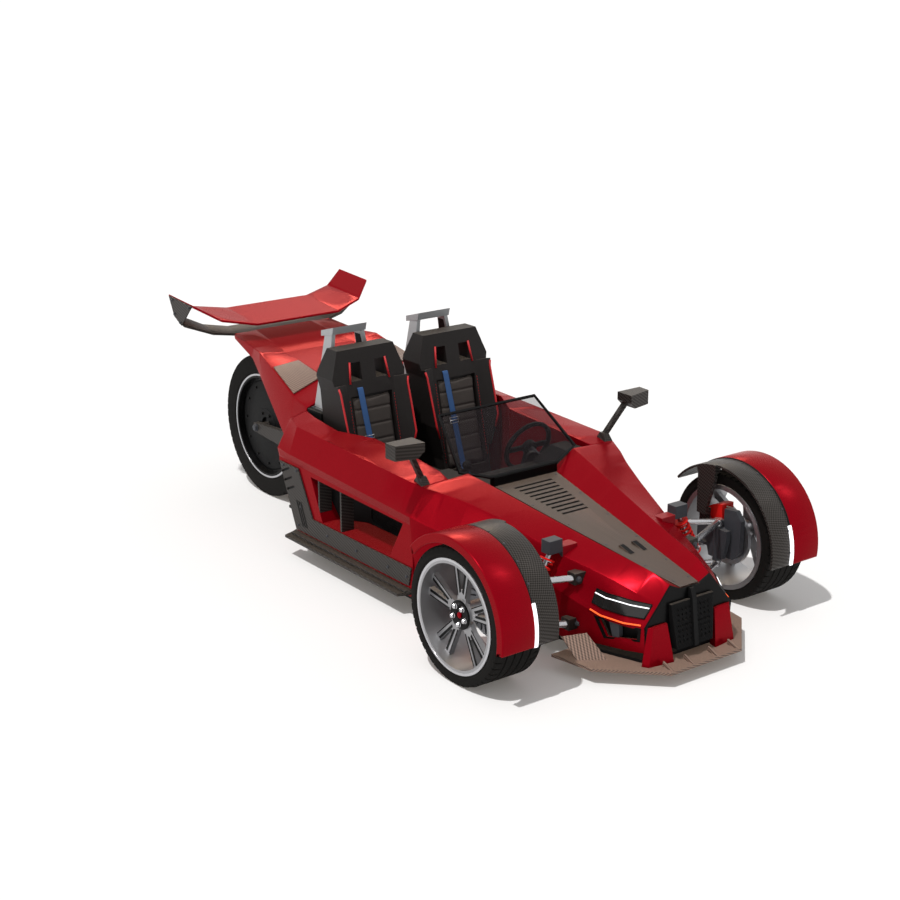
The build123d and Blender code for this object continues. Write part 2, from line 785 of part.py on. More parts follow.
# Door mirrors: a foot on the pod, a leaning stalk and a housing with one corner cut off
mirror_foot = Vector(556, 592, 660)
# Foot sections. Columns: height, length, width.
mirror_foot_rows = [(0, 84, 60), (52, 36, 30)]
stalk_size = 24
stalk_sunk = 15
mirror_low_z = 850
mirror_top_z = 926
mirror_plan = [(575, 662), (682, 662), (650, 812), (575, 817)]
mirror_corner = 34
mirror_inner_y = mirror_plan[0][1]
mirror_outer_y = mirror_plan[3][1]
with BuildPart() as mirror_housing:
    with BuildSketch(Plane.XY.offset(mirror_low_z)):
        Polygon(*mirror_plan, align=None)
    extrude(amount=mirror_top_z - mirror_low_z)
    with BuildSketch(across(mirror_plan[0][0])):
        Polygon(
            (mirror_inner_y, mirror_low_z + mirror_corner), (mirror_inner_y + mirror_corner, mirror_low_z),
            (mirror_outer_y, mirror_low_z), (mirror_outer_y, mirror_top_z), (mirror_inner_y, mirror_top_z),
            align=None,
        )
    extrude(amount=mirror_plan[0][0], mode=Mode.INTERSECT)

with BuildPart() as mirrors:
    for height, length, width in mirror_foot_rows:
        with BuildSketch(Plane(origin=mirror_foot + Vector(0, 0, height))):
            Rectangle(length, width)
    loft(ruled=True)
    stalk_foot = mirror_foot + Vector(0, 0, mirror_foot_rows[1][0] - stalk_sunk)
    stalk_head_x = mirror_plan[0][0] + stalk_size
    stalk_head = Vector(stalk_head_x, mirror_inner_y + mirror_corner, mirror_low_z + stalk_sunk)
    with BuildSketch(Plane(origin=stalk_foot, x_dir=(1, 0, 0), z_dir=stalk_head - stalk_foot)):
        Rectangle(stalk_size, stalk_size)
    extrude(amount=(stalk_head - stalk_foot).length)
    add(mirror_housing.part)
    add(pod_form.part, mode=Mode.SUBTRACT)
    mirror(about=Plane.XZ)
save(mirrors, "mirrors")

# Tunnel between the seats with its shift knob
tunnel_half_width = 90
tunnel_rear_x = -300
tunnel_front_x = 420
tunnel_top_z = 400
tunnel_rise = 40
knob_x = 150
knob_height = 140
knob_radius = 26
lever_radius = 12
with BuildPart() as centre_tunnel:
    with BuildSketch(beside(tunnel_half_width)):
        Polygon(
            (bulkhead_front_x, floor_top), (tunnel_front_x, floor_top),
            (tunnel_front_x, tunnel_top_z + tunnel_rise), (tunnel_rear_x, tunnel_top_z),
            (bulkhead_front_x, tunnel_top_z),
            align=None,
        )
    extrude(amount=2 * tunnel_half_width)
    with BuildSketch(Plane.XY.offset(tunnel_top_z)):
        with Locations((knob_x, 0)):
            Circle(lever_radius)
    extrude(amount=knob_height)
    with Locations((knob_x, 0, tunnel_top_z + knob_height)):
        Sphere(knob_radius)
save(centre_tunnel, "centre_tunnel")

# Front suspension, left: inner arm mounts on the nose, outer eyes on the kingpin axis
arm_spread = 130
arm_tube_radius = 16
arm_tube_sunk = 10
bracket_size = 56
bracket_reach = 44
bracket_depth = 120
damper_foot_y = 575
damper_seat_length = 110
damper_seat_width = 60
ball_pin_length = 24
upper_eye_z = front_axle_z + upright_rise + pivot_gap + arm_eye_height / 2
lower_eye_z = front_axle_z - upright_drop - pivot_gap - arm_eye_height / 2


def nose_side_y(x, z):
    """Where the flank of the nose stands at this station and height."""
    flank = nose_outline(x)[2:]
    for (high_y, high_z), (low_y, low_z) in zip(flank, flank[1:]):
        if low_z <= z <= high_z:
            return low_y + (high_y - low_y) * (z - low_z) / (high_z - low_z)
    raise ValueError(z)


arm_roots = []
for z in (upper_eye_z, lower_eye_z):
    for x in (front_axle_x - arm_spread, front_axle_x + arm_spread):
        arm_roots.append(Vector(x, nose_side_y(x, z) + bracket_reach, z))

with BuildPart() as arm_brackets:
    for root in arm_roots:
        with Locations(root):
            Box(bracket_size, bracket_depth, bracket_size, align=(Align.CENTER, Align.MAX, Align.CENTER))
    add(nose_form.part, mode=Mode.SUBTRACT)
    mirror(about=Plane.XZ)
save(arm_brackets, "arm_brackets")

with BuildPart() as wishbones:
    for z, pin_way in ((upper_eye_z, -1), (lower_eye_z, 1)):
        with Locations((front_axle_x, kingpin_y, z)):
            Cylinder(boss_radius, arm_eye_height)
        with Locations((front_axle_x, kingpin_y, z + pin_way * (arm_eye_height + ball_pin_length) / 2)):
            Cylinder(ball_pin_radius, ball_pin_length)
    for root in arm_roots:
        end = Vector(front_axle_x, kingpin_y, root.Z)
        with BuildSketch(Plane(origin=root - (end - root).normalized() * arm_tube_sunk, z_dir=end - root)):
            Circle(arm_tube_radius)
        extrude(amount=(end - root).length)
    with Locations((front_axle_x, damper_foot_y, lower_eye_z)):
        Box(damper_seat_length, damper_seat_width, 2 * arm_tube_radius)
    mirror(about=Plane.XZ)
    add(arm_brackets.part, mode=Mode.SUBTRACT)
save(wishbones, "wishbones")

# Damper towers beside the hood, with the dampers and springs leaning out to the lower arms
tower_length = 60
tower_inner_y = 360
tower_outer_y = 440
tower_low_z = 505
tower_top_z = 570
neck_inner_y = 270
neck_low_z = 480
neck_top_z = 530
damper_head_y = 410
damper_radius = 13
damper_overrun = 40
spring_radius = 34
spring_wire = 10
spring_coils = 6
collar_thickness = 8
spring_start = 42
spring_end = 225
damper_foot_z = lower_eye_z + arm_tube_radius
damper_head = Vector(front_axle_x, damper_head_y, tower_low_z)
damper_foot = Vector(front_axle_x, damper_foot_y, damper_foot_z)
damper_length = (damper_foot - damper_head).length
damper_plane = Plane(origin=damper_head, x_dir=(1, 0, 0), z_dir=damper_foot - damper_head)
with BuildPart() as damper_towers:
    with BuildSketch(across(front_axle_x - tower_length / 2)):
        Polygon(
            (tower_outer_y, tower_low_z), (tower_outer_y, tower_top_z), (tower_inner_y, tower_top_z),
            (tower_inner_y, neck_top_z), (neck_inner_y, neck_top_z), (neck_inner_y, neck_low_z),
            (tower_inner_y, neck_low_z), (tower_inner_y, tower_low_z),
            align=None,
        )
    extrude(amount=tower_length)
    add(nose_form.part, mode=Mode.SUBTRACT)
    mirror(about=Plane.XZ)
save(damper_towers, "damper_towers")

with BuildPart() as dampers:
    with BuildSketch(damper_plane.offset(-damper_overrun)):
        Circle(damper_radius)
    extrude(amount=damper_length + 2 * damper_overrun)
    for low in (spring_start - collar_thickness, spring_end):
        with BuildSketch(damper_plane.offset(low)):
            Circle(spring_radius)
        extrude(amount=collar_thickness)
    split(bisect_by=Plane.XY.offset(tower_low_z), keep=Keep.BOTTOM)
    split(bisect_by=Plane.XY.offset(damper_foot_z), keep=Keep.TOP)
    mirror(about=Plane.XZ)
save(dampers, "dampers")

with BuildPart() as springs:
    coil_low = spring_start + seat_gap
    coil_high = spring_end - seat_gap
    coil_pitch = (coil_high - coil_low) / spring_coils
    ridge = []
    for i in range(spring_coils):
        ridge.append((spring_radius - spring_wire / 2, coil_low + i * coil_pitch))
        ridge.append((spring_radius, coil_low + (i + 0.5) * coil_pitch))
    ridge.append((spring_radius - spring_wire / 2, coil_high))
    bore = [(spring_radius - spring_wire, coil_high), (spring_radius - spring_wire, coil_low)]
    with BuildSketch(Plane(origin=damper_plane.origin, x_dir=damper_plane.x_dir, z_dir=-damper_plane.y_dir)):
        Polygon(*(ridge + bore), align=None)
    revolve(axis=Axis(damper_plane.origin, damper_plane.z_dir))
    mirror(about=Plane.XZ)
save(springs, "springs")

# Steering wheel, left of centre, and its column from the dashboard
wheel_centre = Vector(310, 278, 635)
column_tilt = 20
wheel_rim_radius = 138
wheel_grip_radius = 12
wheel_hub_radius = 40
wheel_hub_depth = 28
wheel_spoke_width = 30
wheel_spoke_thickness = 10
column_radius = 16
column_length = 200
wheel_plane = Plane(
    origin=wheel_centre,
    x_dir=(0, -1, 0),
    z_dir=(-cos(radians(column_tilt)), 0, sin(radians(column_tilt))),
)
with BuildPart() as steering_wheel:
    with Locations(wheel_plane):
        Torus(wheel_rim_radius, wheel_grip_radius)
        Cylinder(wheel_hub_radius, wheel_hub_depth, align=(Align.CENTER, Align.CENTER, Align.MAX))
    for angle in (0, 180, 270):
        with BuildSketch(wheel_plane):
            with PolarLocations(wheel_rim_radius / 2, 1, start_angle=angle):
                Rectangle(wheel_rim_radius, wheel_spoke_width)
        extrude(amount=-wheel_spoke_thickness)
save(steering_wheel, "steering_wheel")

with BuildPart() as steering_column:
    with BuildSketch(wheel_plane.offset(-wheel_hub_depth - pivot_gap)):
        Circle(column_radius)
    extrude(amount=-column_length)
    split(bisect_by=Plane.YZ.offset(dash_rear_x), keep=Keep.BOTTOM)
save(steering_column, "steering_column")

# Rack across the nose, with the track rods that reach the steering arms
rack_x = front_axle_x - steering_arm_length
rack_z = front_axle_z - steering_arm_drop
rack_radius = 14
rack_half_length = 330
rod_radius = 7
rod_eye_radius = 16
with BuildPart() as tie_rods:
    for radius, half_length in ((rack_radius, rack_half_length), (rod_radius, kingpin_y)):
        with BuildSketch(beside(half_length)):
            with Locations((rack_x, rack_z)):
                Circle(radius)
        extrude(amount=2 * half_length)
    with Locations((rack_x, kingpin_y, rack_z), (rack_x, -kingpin_y, rack_z)):
        Cylinder(rod_eye_radius, 2 * rod_radius)
save(tie_rods, "tie_rods")

housing_half_length = 220
housing_radius = 26
housing_foot_width = 40
housing_foot_y = 190
with BuildPart() as rack_housing:
    with BuildSketch(beside(housing_half_length)):
        with Locations((rack_x, rack_z)):
            Circle(housing_radius)
    extrude(amount=2 * housing_half_length)
    for y in (-housing_foot_y, housing_foot_y):
        with Locations((rack_x, y, floor_top)):
            Box(
                2 * housing_radius, housing_foot_width, rack_z - floor_top,
                align=(Align.CENTER, Align.CENTER, Align.MIN),
            )
    with BuildSketch(beside(housing_half_length)):
        with Locations((rack_x, rack_z)):
            Circle(rack_radius + run_gap)
    extrude(amount=2 * housing_half_length, mode=Mode.SUBTRACT)
save(rack_housing, "rack_housing")

# Steered uprights with their spindles, calipers and mudguards, and the front wheels
upright_outer_y = kingpin_y + upright_thickness / 2
shoulder_drop = 15
upright_foot_width = 45
core_radius = 60
core_step = 11
core_face_y = upright_outer_y + core_step
drum_radius = 90
drum_step = 30
drum_face_y = upright_outer_y + drum_step
knuckle_step = 40
knuckle_face_y = upright_outer_y + knuckle_step
# Front block of the upright. Columns: x and z from the axle.
knuckle_block = [(10, 60), (14, 153), (90, 160), (128, 115), (125, -50), (80, -100), (30, -100), (30, 20)]
# Ear that carries the mudguard strut: rear and front x, low and high z, from the axle
ear_rear, ear_front, ear_low, ear_top = -130, -60, -26, 58
steering_arm_thickness = 16
wheel_face_y = front_wheel_y + front_tyre_width / 2
spindle_recess = 75
spindle_end_y = wheel_face_y - spindle_recess
bore_clearance = 2
hub_inner_y = knuckle_face_y + part_gap
hub_recess = 44
hub_outer_y = wheel_face_y - hub_recess
hub_cap_thickness = 20
spoke_face_y = wheel_face_y - spoke_recess
disc_step = 1
disc_inner_y = hub_inner_y + disc_step
caliper_gap = part_gap
caliper_step = 1
caliper_wall = 20
caliper_high_radius = 168
caliper_angle = 112
caliper_half_angle = 20
blade_thickness = 21
blade_overhang = 13
strut_foot_thickness = 18
strut_inner_y = guard_inner_y - blade_overhang
strut_middle_y = strut_inner_y + blade_thickness
strut_outer_y = strut_middle_y + strut_foot_thickness
# Mudguard strut, foot then blade. Columns: x and z from the axle.
strut_foot = [(-128, ear_top + seat_gap), (-72, ear_top + seat_gap), (-66, 140), (-128, 140)]
strut_blade = [(-128, 111), (-66, 111), (-66, 140), (-12, 318), (-20, 340), (-110, 340), (-131, 318)]
ledge_radius = 340
ledge_low_angle = 92
ledge_high_angle = 112
# Spoke: its root, and one blade of its fork.
# Columns: share of the way to the barrel, distance from its middle line.
spoke_root = [(0.12, 30), (0.48, 32)]
spoke_fork = [(0.4, 2), (0.99, 26), (0.965, 62), (0.4, 32)]
wheel_axis = Axis((front_axle_x, 0, front_axle_z), (0, 1, 0))
wheel_section = Plane(origin=(front_axle_x, front_wheel_y, front_axle_z), x_dir=(0, 1, 0), z_dir=(1, 0, 0))


def ring_sector(low_radius, high_radius, low_angle, high_angle):
    """A band of a ring about the front axle, seen from the side."""
    with Locations((front_axle_x, front_axle_z)):
        Circle(high_radius)
        Circle(low_radius, mode=Mode.SUBTRACT)
        reach = 2 * high_radius
        fan = [(0, 0)]
        for share in (0, 0.25, 0.5, 0.75, 1):
            angle = radians(low_angle + share * (high_angle - low_angle))
            fan.append((reach * cos(angle), reach * sin(angle)))
        Polygon(*fan, align=None, mode=Mode.INTERSECT)


def tyre_section(half, bead_radius, flange_radius, tyre_radius):
    """Half of a tyre's cross-section: across the wheel, and out from the axle."""
    return [
        (-half + bead_inset, bead_radius), (-half + bead_inset, flange_radius),
        (-half, flange_radius + sidewall_bulge), (-half, tyre_radius), (half, tyre_radius),
        (half, flange_radius + sidewall_bulge), (half - bead_inset, flange_radius),
        (half - bead_inset, bead_radius),
    ]


for side, name in ((1, "left"), (-1, "right")):
    with BuildPart() as upright:
        with BuildSketch(beside(upright_outer_y)):
            with Locations((front_axle_x, front_axle_z)):
                Polygon(
                    (upright_half_width, upright_rise - shoulder_drop), (upright_half_width, 0),
                    (upright_foot_width, shoulder_drop - upright_drop),
                    (-upright_foot_width, shoulder_drop - upright_drop),
                    (-upright_half_width, 0), (-upright_half_width, upright_rise - shoulder_drop),
                    align=None,
                )
                Polygon(
                    (ear_rear, ear_low), (ear_front, ear_low), (ear_front, ear_top), (ear_rear, ear_top),
                    align=None,
                )
        extrude(amount=upright_thickness)
        with Locations((front_axle_x, kingpin_y, front_axle_z)):
            Cylinder(boss_radius, upright_rise, align=(Align.CENTER, Align.CENTER, Align.MIN))
            Cylinder(boss_radius, upright_drop, align=(Align.CENTER, Align.CENTER, Align.MAX))
        for radius, face_y in ((core_radius, core_face_y), (drum_radius, drum_face_y)):
            with BuildSketch(beside(face_y)):
                with Locations((front_axle_x, front_axle_z)):
                    Circle(radius)
            extrude(amount=min(face_y - kingpin_y, drum_face_y - core_face_y))
        with BuildSketch(beside(knuckle_face_y)):
            with Locations((front_axle_x, front_axle_z)):
                Polygon(*knuckle_block, align=None)
        extrude(amount=knuckle_face_y - core_face_y)
        with BuildSketch(Plane.XY.offset(rack_z + rod_radius + pivot_gap)):
            with Locations((rack_x + steering_arm_length / 2, kingpin_y)):
                Rectangle(steering_arm_length, 2 * rod_eye_radius)
            with Locations((rack_x, kingpin_y)):
                Circle(rod_eye_radius)
        extrude(amount=steering_arm_thickness)
        with Locations((front_axle_x, kingpin_y, front_axle_z)):
            Cylinder(ball_pin_radius + run_gap, 4 * upright_drop, mode=Mode.SUBTRACT)
        with BuildSketch(beside(spindle_end_y)):
            with Locations((front_axle_x, front_axle_z)):
                Circle(spindle_radius)
        extrude(amount=spindle_end_y - kingpin_y)
        if side < 0:
            mirror(about=Plane.XZ, mode=Mode.REPLACE)
    save(upright, f"upright_{name}")

    with BuildPart() as caliper:
        start = radians(caliper_angle + caliper_half_angle)
        low_radius = drum_radius + seat_gap
        inner_y = core_face_y + caliper_step
        slot_inner_y = disc_inner_y - caliper_gap
        slot_outer_y = disc_inner_y + disc_thickness + caliper_gap
        with BuildSketch(
            Plane((front_axle_x, 0, front_axle_z), x_dir=(0, 1, 0), z_dir=(sin(start), 0, -cos(start)))
        ):
            Polygon(
                (inner_y, low_radius), (slot_outer_y + caliper_wall, low_radius),
                (slot_outer_y + caliper_wall, caliper_high_radius), (inner_y, caliper_high_radius),
                align=None,
            )
            Polygon(
                (slot_inner_y, 0), (slot_outer_y, 0), (slot_outer_y, disc_radius + caliper_gap),
                (slot_inner_y, disc_radius + caliper_gap),
                align=None, mode=Mode.SUBTRACT,
            )
        revolve(axis=wheel_axis, revolution_arc=2 * caliper_half_angle)
        if side < 0:
            mirror(about=Plane.XZ, mode=Mode.REPLACE)
    save(caliper, f"caliper_{name}")

    with BuildPart() as guard:
        with BuildSketch(beside(guard_outer_y)):
            ring_sector(guard_radius - guard_wall, guard_radius, guard_front_angle, guard_rear_angle)
        extrude(amount=guard_outer_y - guard_split_y)
        with BuildSketch(beside(guard_outer_y)):
            lip_radius = guard_radius - guard_wall - guard_lip
            ring_sector(lip_radius, guard_radius, guard_front_angle, guard_rear_angle)
        extrude(amount=guard_wall)
        if side < 0:
            mirror(about=Plane.XZ, mode=Mode.REPLACE)
    save(guard, f"guard_{name}")

    with BuildPart() as guard_inner:
        inner_radius = guard_radius - guard_step
        with BuildSketch(beside(guard_split_y)):
            ring_sector(inner_radius - guard_wall, inner_radius, guard_front_angle, guard_rear_angle)
        extrude(amount=guard_split_y - guard_inner_y)
        for outline, low_y, high_y in (
            (strut_foot, strut_middle_y, strut_outer_y), (strut_blade, strut_inner_y, strut_middle_y),
        ):
            with BuildSketch(beside(high_y)):
                with Locations((front_axle_x, front_axle_z)):
                    Polygon(*outline, align=None)
            extrude(amount=high_y - low_y)
        with BuildSketch(beside(strut_outer_y)):
            ring_sector(ledge_radius, inner_radius, ledge_low_angle, ledge_high_angle)
        extrude(amount=strut_outer_y - strut_inner_y)
        if side < 0:
            mirror(about=Plane.XZ, mode=Mode.REPLACE)
    save(guard_inner, f"guard_inner_{name}")

    with BuildPart() as tyre:
        half = front_tyre_width / 2
        with BuildSketch(wheel_section):
            Polygon(
                *tyre_section(half, front_bead_radius, front_flange_radius, front_tyre_radius), align=None,
            )
            fillet(vertices().group_by(Axis.Y)[-1], radius=tread_rounding)
        revolve(axis=wheel_axis)
        if side < 0:
            mirror(about=Plane.XZ, mode=Mode.REPLACE)
    save(tyre, f"tyre_{name}")

    with BuildPart() as rim:
        lip = half - bead_inset + seat_gap
        barrel = front_bead_radius - seat_gap
        with BuildSketch(wheel_section):
            Polygon(
                (-lip - rim_wall, front_flange_radius), (-lip, front_flange_radius), (-lip, barrel),
                (lip, barrel), (lip, front_flange_radius), (lip + rim_wall, front_flange_radius),
                (lip + rim_wall, barrel - rim_wall), (-lip - rim_wall, barrel - rim_wall),
                align=None,
            )
        revolve(axis=wheel_axis)
        reach = barrel - rim_wall / 2
        with BuildSketch(beside(spoke_face_y)):
            with Locations((front_axle_x, front_axle_z)):
                with PolarLocations(0, spoke_count, start_angle=90):
                    Polygon(*both_sides([(share * reach, y) for share, y in spoke_root]), align=None)
                    for way in (1, -1):
                        Polygon(*[(share * reach, way * y) for share, y in spoke_fork], align=None)
        extrude(amount=spoke_thickness)
        for radius, low_y in ((hub_cap_radius, hub_outer_y - hub_cap_thickness), (hub_radius, hub_inner_y)):
            with BuildSketch(beside(hub_outer_y)):
                with Locations((front_axle_x, front_axle_z)):
                    Circle(radius)
            extrude(amount=hub_outer_y - low_y)
        with BuildSketch(beside(spindle_end_y + bore_clearance)):
            with Locations((front_axle_x, front_axle_z)):
                Circle(spindle_radius + run_gap)
        extrude(amount=spindle_end_y + bore_clearance - hub_inner_y, mode=Mode.SUBTRACT)
        if side < 0:
            mirror(about=Plane.XZ, mode=Mode.REPLACE)
    save(rim, f"rim_{name}")

    with BuildPart() as brake_disc:
        with BuildSketch(beside(disc_inner_y + disc_thickness)):
            with Locations((front_axle_x, front_axle_z)):
                Circle(disc_radius)
                Circle(hub_radius + seat_gap, mode=Mode.SUBTRACT)
        extrude(amount=disc_thickness)
        if side < 0:
            mirror(about=Plane.XZ, mode=Mode.REPLACE)
    save(brake_disc, f"brake_disc_{name}")

# Rear wheel
rear_axis = Axis((rear_axle_x, 0, rear_axle_z), (0, 1, 0))
rear_section = Plane(origin=(rear_axle_x, 0, rear_axle_z), x_dir=(0, 1, 0), z_dir=(1, 0, 0))
rear_half = rear_tyre_width / 2
rear_bead_radius = rear_tyre_radius - rear_sidewall
rear_flange_radius = rear_bead_radius + flange_height
rear_dish = 26
with BuildPart() as tyre_rear:
    with BuildSketch(rear_section):
        Polygon(*tyre_section(rear_half, rear_bead_radius, rear_flange_radius, rear_tyre_radius), align=None)
        fillet(vertices().group_by(Axis.Y)[-1], radius=rear_rounding)
    revolve(axis=rear_axis)
save(tyre_rear, "tyre_rear")

with BuildPart() as rim_rear:
    rear_lip = rear_half - bead_inset + seat_gap
    rear_barrel = rear_bead_radius - seat_gap
    dish_y = rear_lip - rear_dish
    dish_radius = rear_barrel - 2 * rim_wall
    bore = rear_spindle_radius + run_gap
    with BuildSketch(rear_section):
        Polygon(
            (-rear_lip - rim_wall, rear_flange_radius), (-rear_lip, rear_flange_radius),
            (-rear_lip, rear_barrel), (rear_lip, rear_barrel),
            (rear_lip, rear_flange_radius), (rear_lip + rim_wall, rear_flange_radius),
            (rear_lip + rim_wall, rear_barrel - rim_wall), (dish_y, dish_radius), (dish_y, bore),
            (-dish_y, bore), (-dish_y, dish_radius), (-rear_lip - rim_wall, rear_barrel - rim_wall),
            align=None,
        )
    revolve(axis=rear_axis)
save(rim_rear, "rim_rear")
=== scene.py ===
import json
from math import cos, exp, pi, radians, sin

import bmesh
import bpy
from mathutils import Matrix, Vector


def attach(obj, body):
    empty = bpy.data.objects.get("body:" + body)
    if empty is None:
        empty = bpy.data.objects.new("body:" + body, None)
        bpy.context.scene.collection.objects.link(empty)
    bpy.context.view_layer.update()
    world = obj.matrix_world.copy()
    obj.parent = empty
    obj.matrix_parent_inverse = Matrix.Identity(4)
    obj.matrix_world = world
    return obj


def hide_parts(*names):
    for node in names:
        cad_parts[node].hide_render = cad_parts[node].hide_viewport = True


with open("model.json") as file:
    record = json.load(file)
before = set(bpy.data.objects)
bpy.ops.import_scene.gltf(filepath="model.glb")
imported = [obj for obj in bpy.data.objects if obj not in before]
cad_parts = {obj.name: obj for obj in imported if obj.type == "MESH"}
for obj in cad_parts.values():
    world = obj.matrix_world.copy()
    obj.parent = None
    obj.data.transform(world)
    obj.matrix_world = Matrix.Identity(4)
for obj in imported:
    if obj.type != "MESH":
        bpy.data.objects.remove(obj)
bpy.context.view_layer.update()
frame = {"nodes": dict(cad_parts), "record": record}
nodes = frame["nodes"]
scene = bpy.context.scene
scene.view_settings.view_transform = "Standard"

# Places on the vehicle, in metres
FRONT_AXLE = Vector((1.313, 0.843, 0.3265))
FRONT_RADIUS = 0.3265
FRONT_HALF_WIDTH = 0.131
FRONT_FLANGE = 0.2716
FRONT_BEAD = 0.256
BARREL_RADIUS = 0.2385
DISC_FACE = -0.0702
HUB_FACE = 0.087
SPOKE_FACE = 0.081
RIM_FACE = 0.1303
REAR_AXLE = Vector((-1.435, 0, 0.422))
REAR_RADIUS = 0.422
REAR_HALF_WIDTH = 0.290
REAR_FLANGE = 0.312
REAR_BEAD = 0.296
REAR_DISH = 0.2553
GUARD_RADIUS = 0.3885
GUARD_SPLIT_Y = 0.815
TOWER_RED_HALF = 0.358
SEAT_Y = 0.280
BACK_FOOT = Vector((-0.190, 0, 0.318))
BACK_TOP = Vector((-0.375, 0, 1.119))
CUSHION_FRONT = Vector((0.250, 0, 0.352))
SIDES = {"left": 1, "right": -1}


def flip(side):
    """The mirror across the middle plane for the right side, or no change for the left."""
    return Matrix.Diagonal((1, side, 1, 1))


# Materials


def shader(name, colour, rough, metal=0.0, specular=0.5, coat=0.0, tint=(1, 1, 1)):
    """A material with its plain values set on the shader itself."""
    mat = bpy.data.materials.new(name)
    mat.use_nodes = True
    bsdf = mat.node_tree.nodes["Principled BSDF"]
    bsdf.inputs["Base Color"].default_value = (*colour[:3], 1)
    bsdf.inputs["Roughness"].default_value = rough
    bsdf.inputs["Metallic"].default_value = metal
    bsdf.inputs["Specular IOR Level"].default_value = specular
    bsdf.inputs["Specular Tint"].default_value = (*tint, 1)
    bsdf.inputs["Coat Weight"].default_value = coat
    bsdf.inputs["Coat Roughness"].default_value = 0.12
    return mat, mat.node_tree, bsdf


def object_coords(tree):
    return tree.nodes.new("ShaderNodeTexCoord").outputs["Object"]


def object_xyz(tree):
    """The object's own coordinates as three values."""
    split = tree.nodes.new("ShaderNodeSeparateXYZ")
    tree.links.new(object_coords(tree), split.inputs["Vector"])
    return split.outputs["X"], split.outputs["Y"], split.outputs["Z"]


def noise(tree, scale, detail=3.0, stretch=(1, 1, 1)):
    """Grey noise in the object's own coordinates, drawn out along an axis where stretch is small."""
    mapping = tree.nodes.new("ShaderNodeMapping")
    mapping.inputs["Scale"].default_value = stretch
    tree.links.new(object_coords(tree), mapping.inputs["Vector"])
    tex = tree.nodes.new("ShaderNodeTexNoise")
    tex.inputs["Scale"].default_value = scale
    tex.inputs["Detail"].default_value = detail
    tree.links.new(mapping.outputs["Vector"], tex.inputs["Vector"])
    return tex.outputs["Fac"]


def spread(tree, value, low, high):
    """Maps a value between 0 and 1 to the range from low to high."""
    node = tree.nodes.new("ShaderNodeMapRange")
    node.inputs["To Min"].default_value = low
    node.inputs["To Max"].default_value = high
    tree.links.new(value, node.inputs["Value"])
    return node.outputs["Result"]


def mix(tree, value, dark, light):
    """A colour between two colours."""
    node = tree.nodes.new("ShaderNodeMix")
    node.data_type = "RGBA"
    for socket, colour in (("A_Color", dark), ("B_Color", light)):
        target = next(s for s in node.inputs if s.identifier == socket)
        if isinstance(colour, bpy.types.NodeSocket):
            tree.links.new(colour, target)
        else:
            target.default_value = (*colour[:3], 1)
    tree.links.new(value, next(s for s in node.inputs if s.identifier == "Factor_Float"))
    return next(s for s in node.outputs if s.identifier == "Result_Color")


def bump(tree, bsdf, value, strength, depth):
    node = tree.nodes.new("ShaderNodeBump")
    node.inputs["Strength"].default_value = strength
    node.inputs["Distance"].default_value = depth
    tree.links.new(value, node.inputs["Height"])
    tree.links.new(node.outputs["Normal"], bsdf.inputs["Normal"])


def shaded(colour, share):
    return tuple(c * share for c in colour[:3])


def grained(name, colour, rough, scale, depth, vary=0.15, stretch=(1, 1, 1), **plain):
    """A surface whose colour, gloss and relief follow one grain."""
    mat, tree, bsdf = shader(name, colour, rough, **plain)
    grain = noise(tree, scale, stretch=stretch)
    broad = noise(tree, 6.0)
    tree.links.new(mix(tree, broad, shaded(colour, 1 - vary), shaded(colour, 1 + vary)), bsdf.inputs["Base Color"])
    tree.links.new(spread(tree, grain, rough - 0.07, rough + 0.07), bsdf.inputs["Roughness"])
    bump(tree, bsdf, grain, 0.35, depth)
    return mat


def math(tree, operation, a, b):
    node = tree.nodes.new("ShaderNodeMath")
    node.operation = operation
    for socket, value in zip(node.inputs, (a, b)):
        if isinstance(value, bpy.types.NodeSocket):
            tree.links.new(value, socket)
        else:
            socket.default_value = value
    return node.outputs["Value"]


def carbon(name, dark, light, tow=0.010):
    """Woven carbon: tows that cross over and under on the slant, under a thin lacquer."""
    mat, tree, bsdf = shader(name, light, 0.42, specular=0.28, tint=(1, 0.86, 0.76))
    x, y, z = object_xyz(tree)
    along = math(tree, "DIVIDE", math(tree, "SUBTRACT", x, y), tow)
    slope = math(tree, "SUBTRACT", math(tree, "ADD", x, y), math(tree, "MULTIPLY", z, 2))
    cross = math(tree, "DIVIDE", slope, tow * 1.7)
    vector = tree.nodes.new("ShaderNodeCombineXYZ")
    tree.links.new(along, vector.inputs["X"])
    tree.links.new(cross, vector.inputs["Y"])
    vector.inputs["Z"].default_value = 0.5
    checker = tree.nodes.new("ShaderNodeTexChecker")
    checker.inputs["Scale"].default_value = 1.0
    tree.links.new(vector.outputs["Vector"], checker.inputs["Vector"])
    weave = checker.outputs["Fac"]
    tree.links.new(mix(tree, weave, dark, light), bsdf.inputs["Base Color"])
    tree.links.new(spread(tree, weave, 0.55, 0.36), bsdf.inputs["Roughness"])
    arch = math(tree, "ABSOLUTE", math(tree, "SINE", math(tree, "MULTIPLY", along, pi), 0.0), 0.0)
    bump(tree, bsdf, math(tree, "MULTIPLY", arch, weave), 0.3, 0.0006)
    return mat


def glowing(name, colour, strength):
    """A lit lamp strip with fine ribs."""
    mat, tree, bsdf = shader(name, colour, 0.35)
    bsdf.inputs["Emission Color"].default_value = (*colour, 1)
    bsdf.inputs["Emission Strength"].default_value = strength
    bump(tree, bsdf, noise(tree, 300.0), 0.2, 0.0005)
    return mat


def glass(name, colour, alpha):
    """Tinted glass with a soft sheen."""
    mat, tree, bsdf = shader(name, colour, 0.4, specular=0.04)
    bsdf.inputs["Alpha"].default_value = alpha
    tree.links.new(spread(tree, noise(tree, 8.0), 0.36, 0.44), bsdf.inputs["Roughness"])
    bump(tree, bsdf, noise(tree, 3.0), 0.05, 0.0005)
    return mat


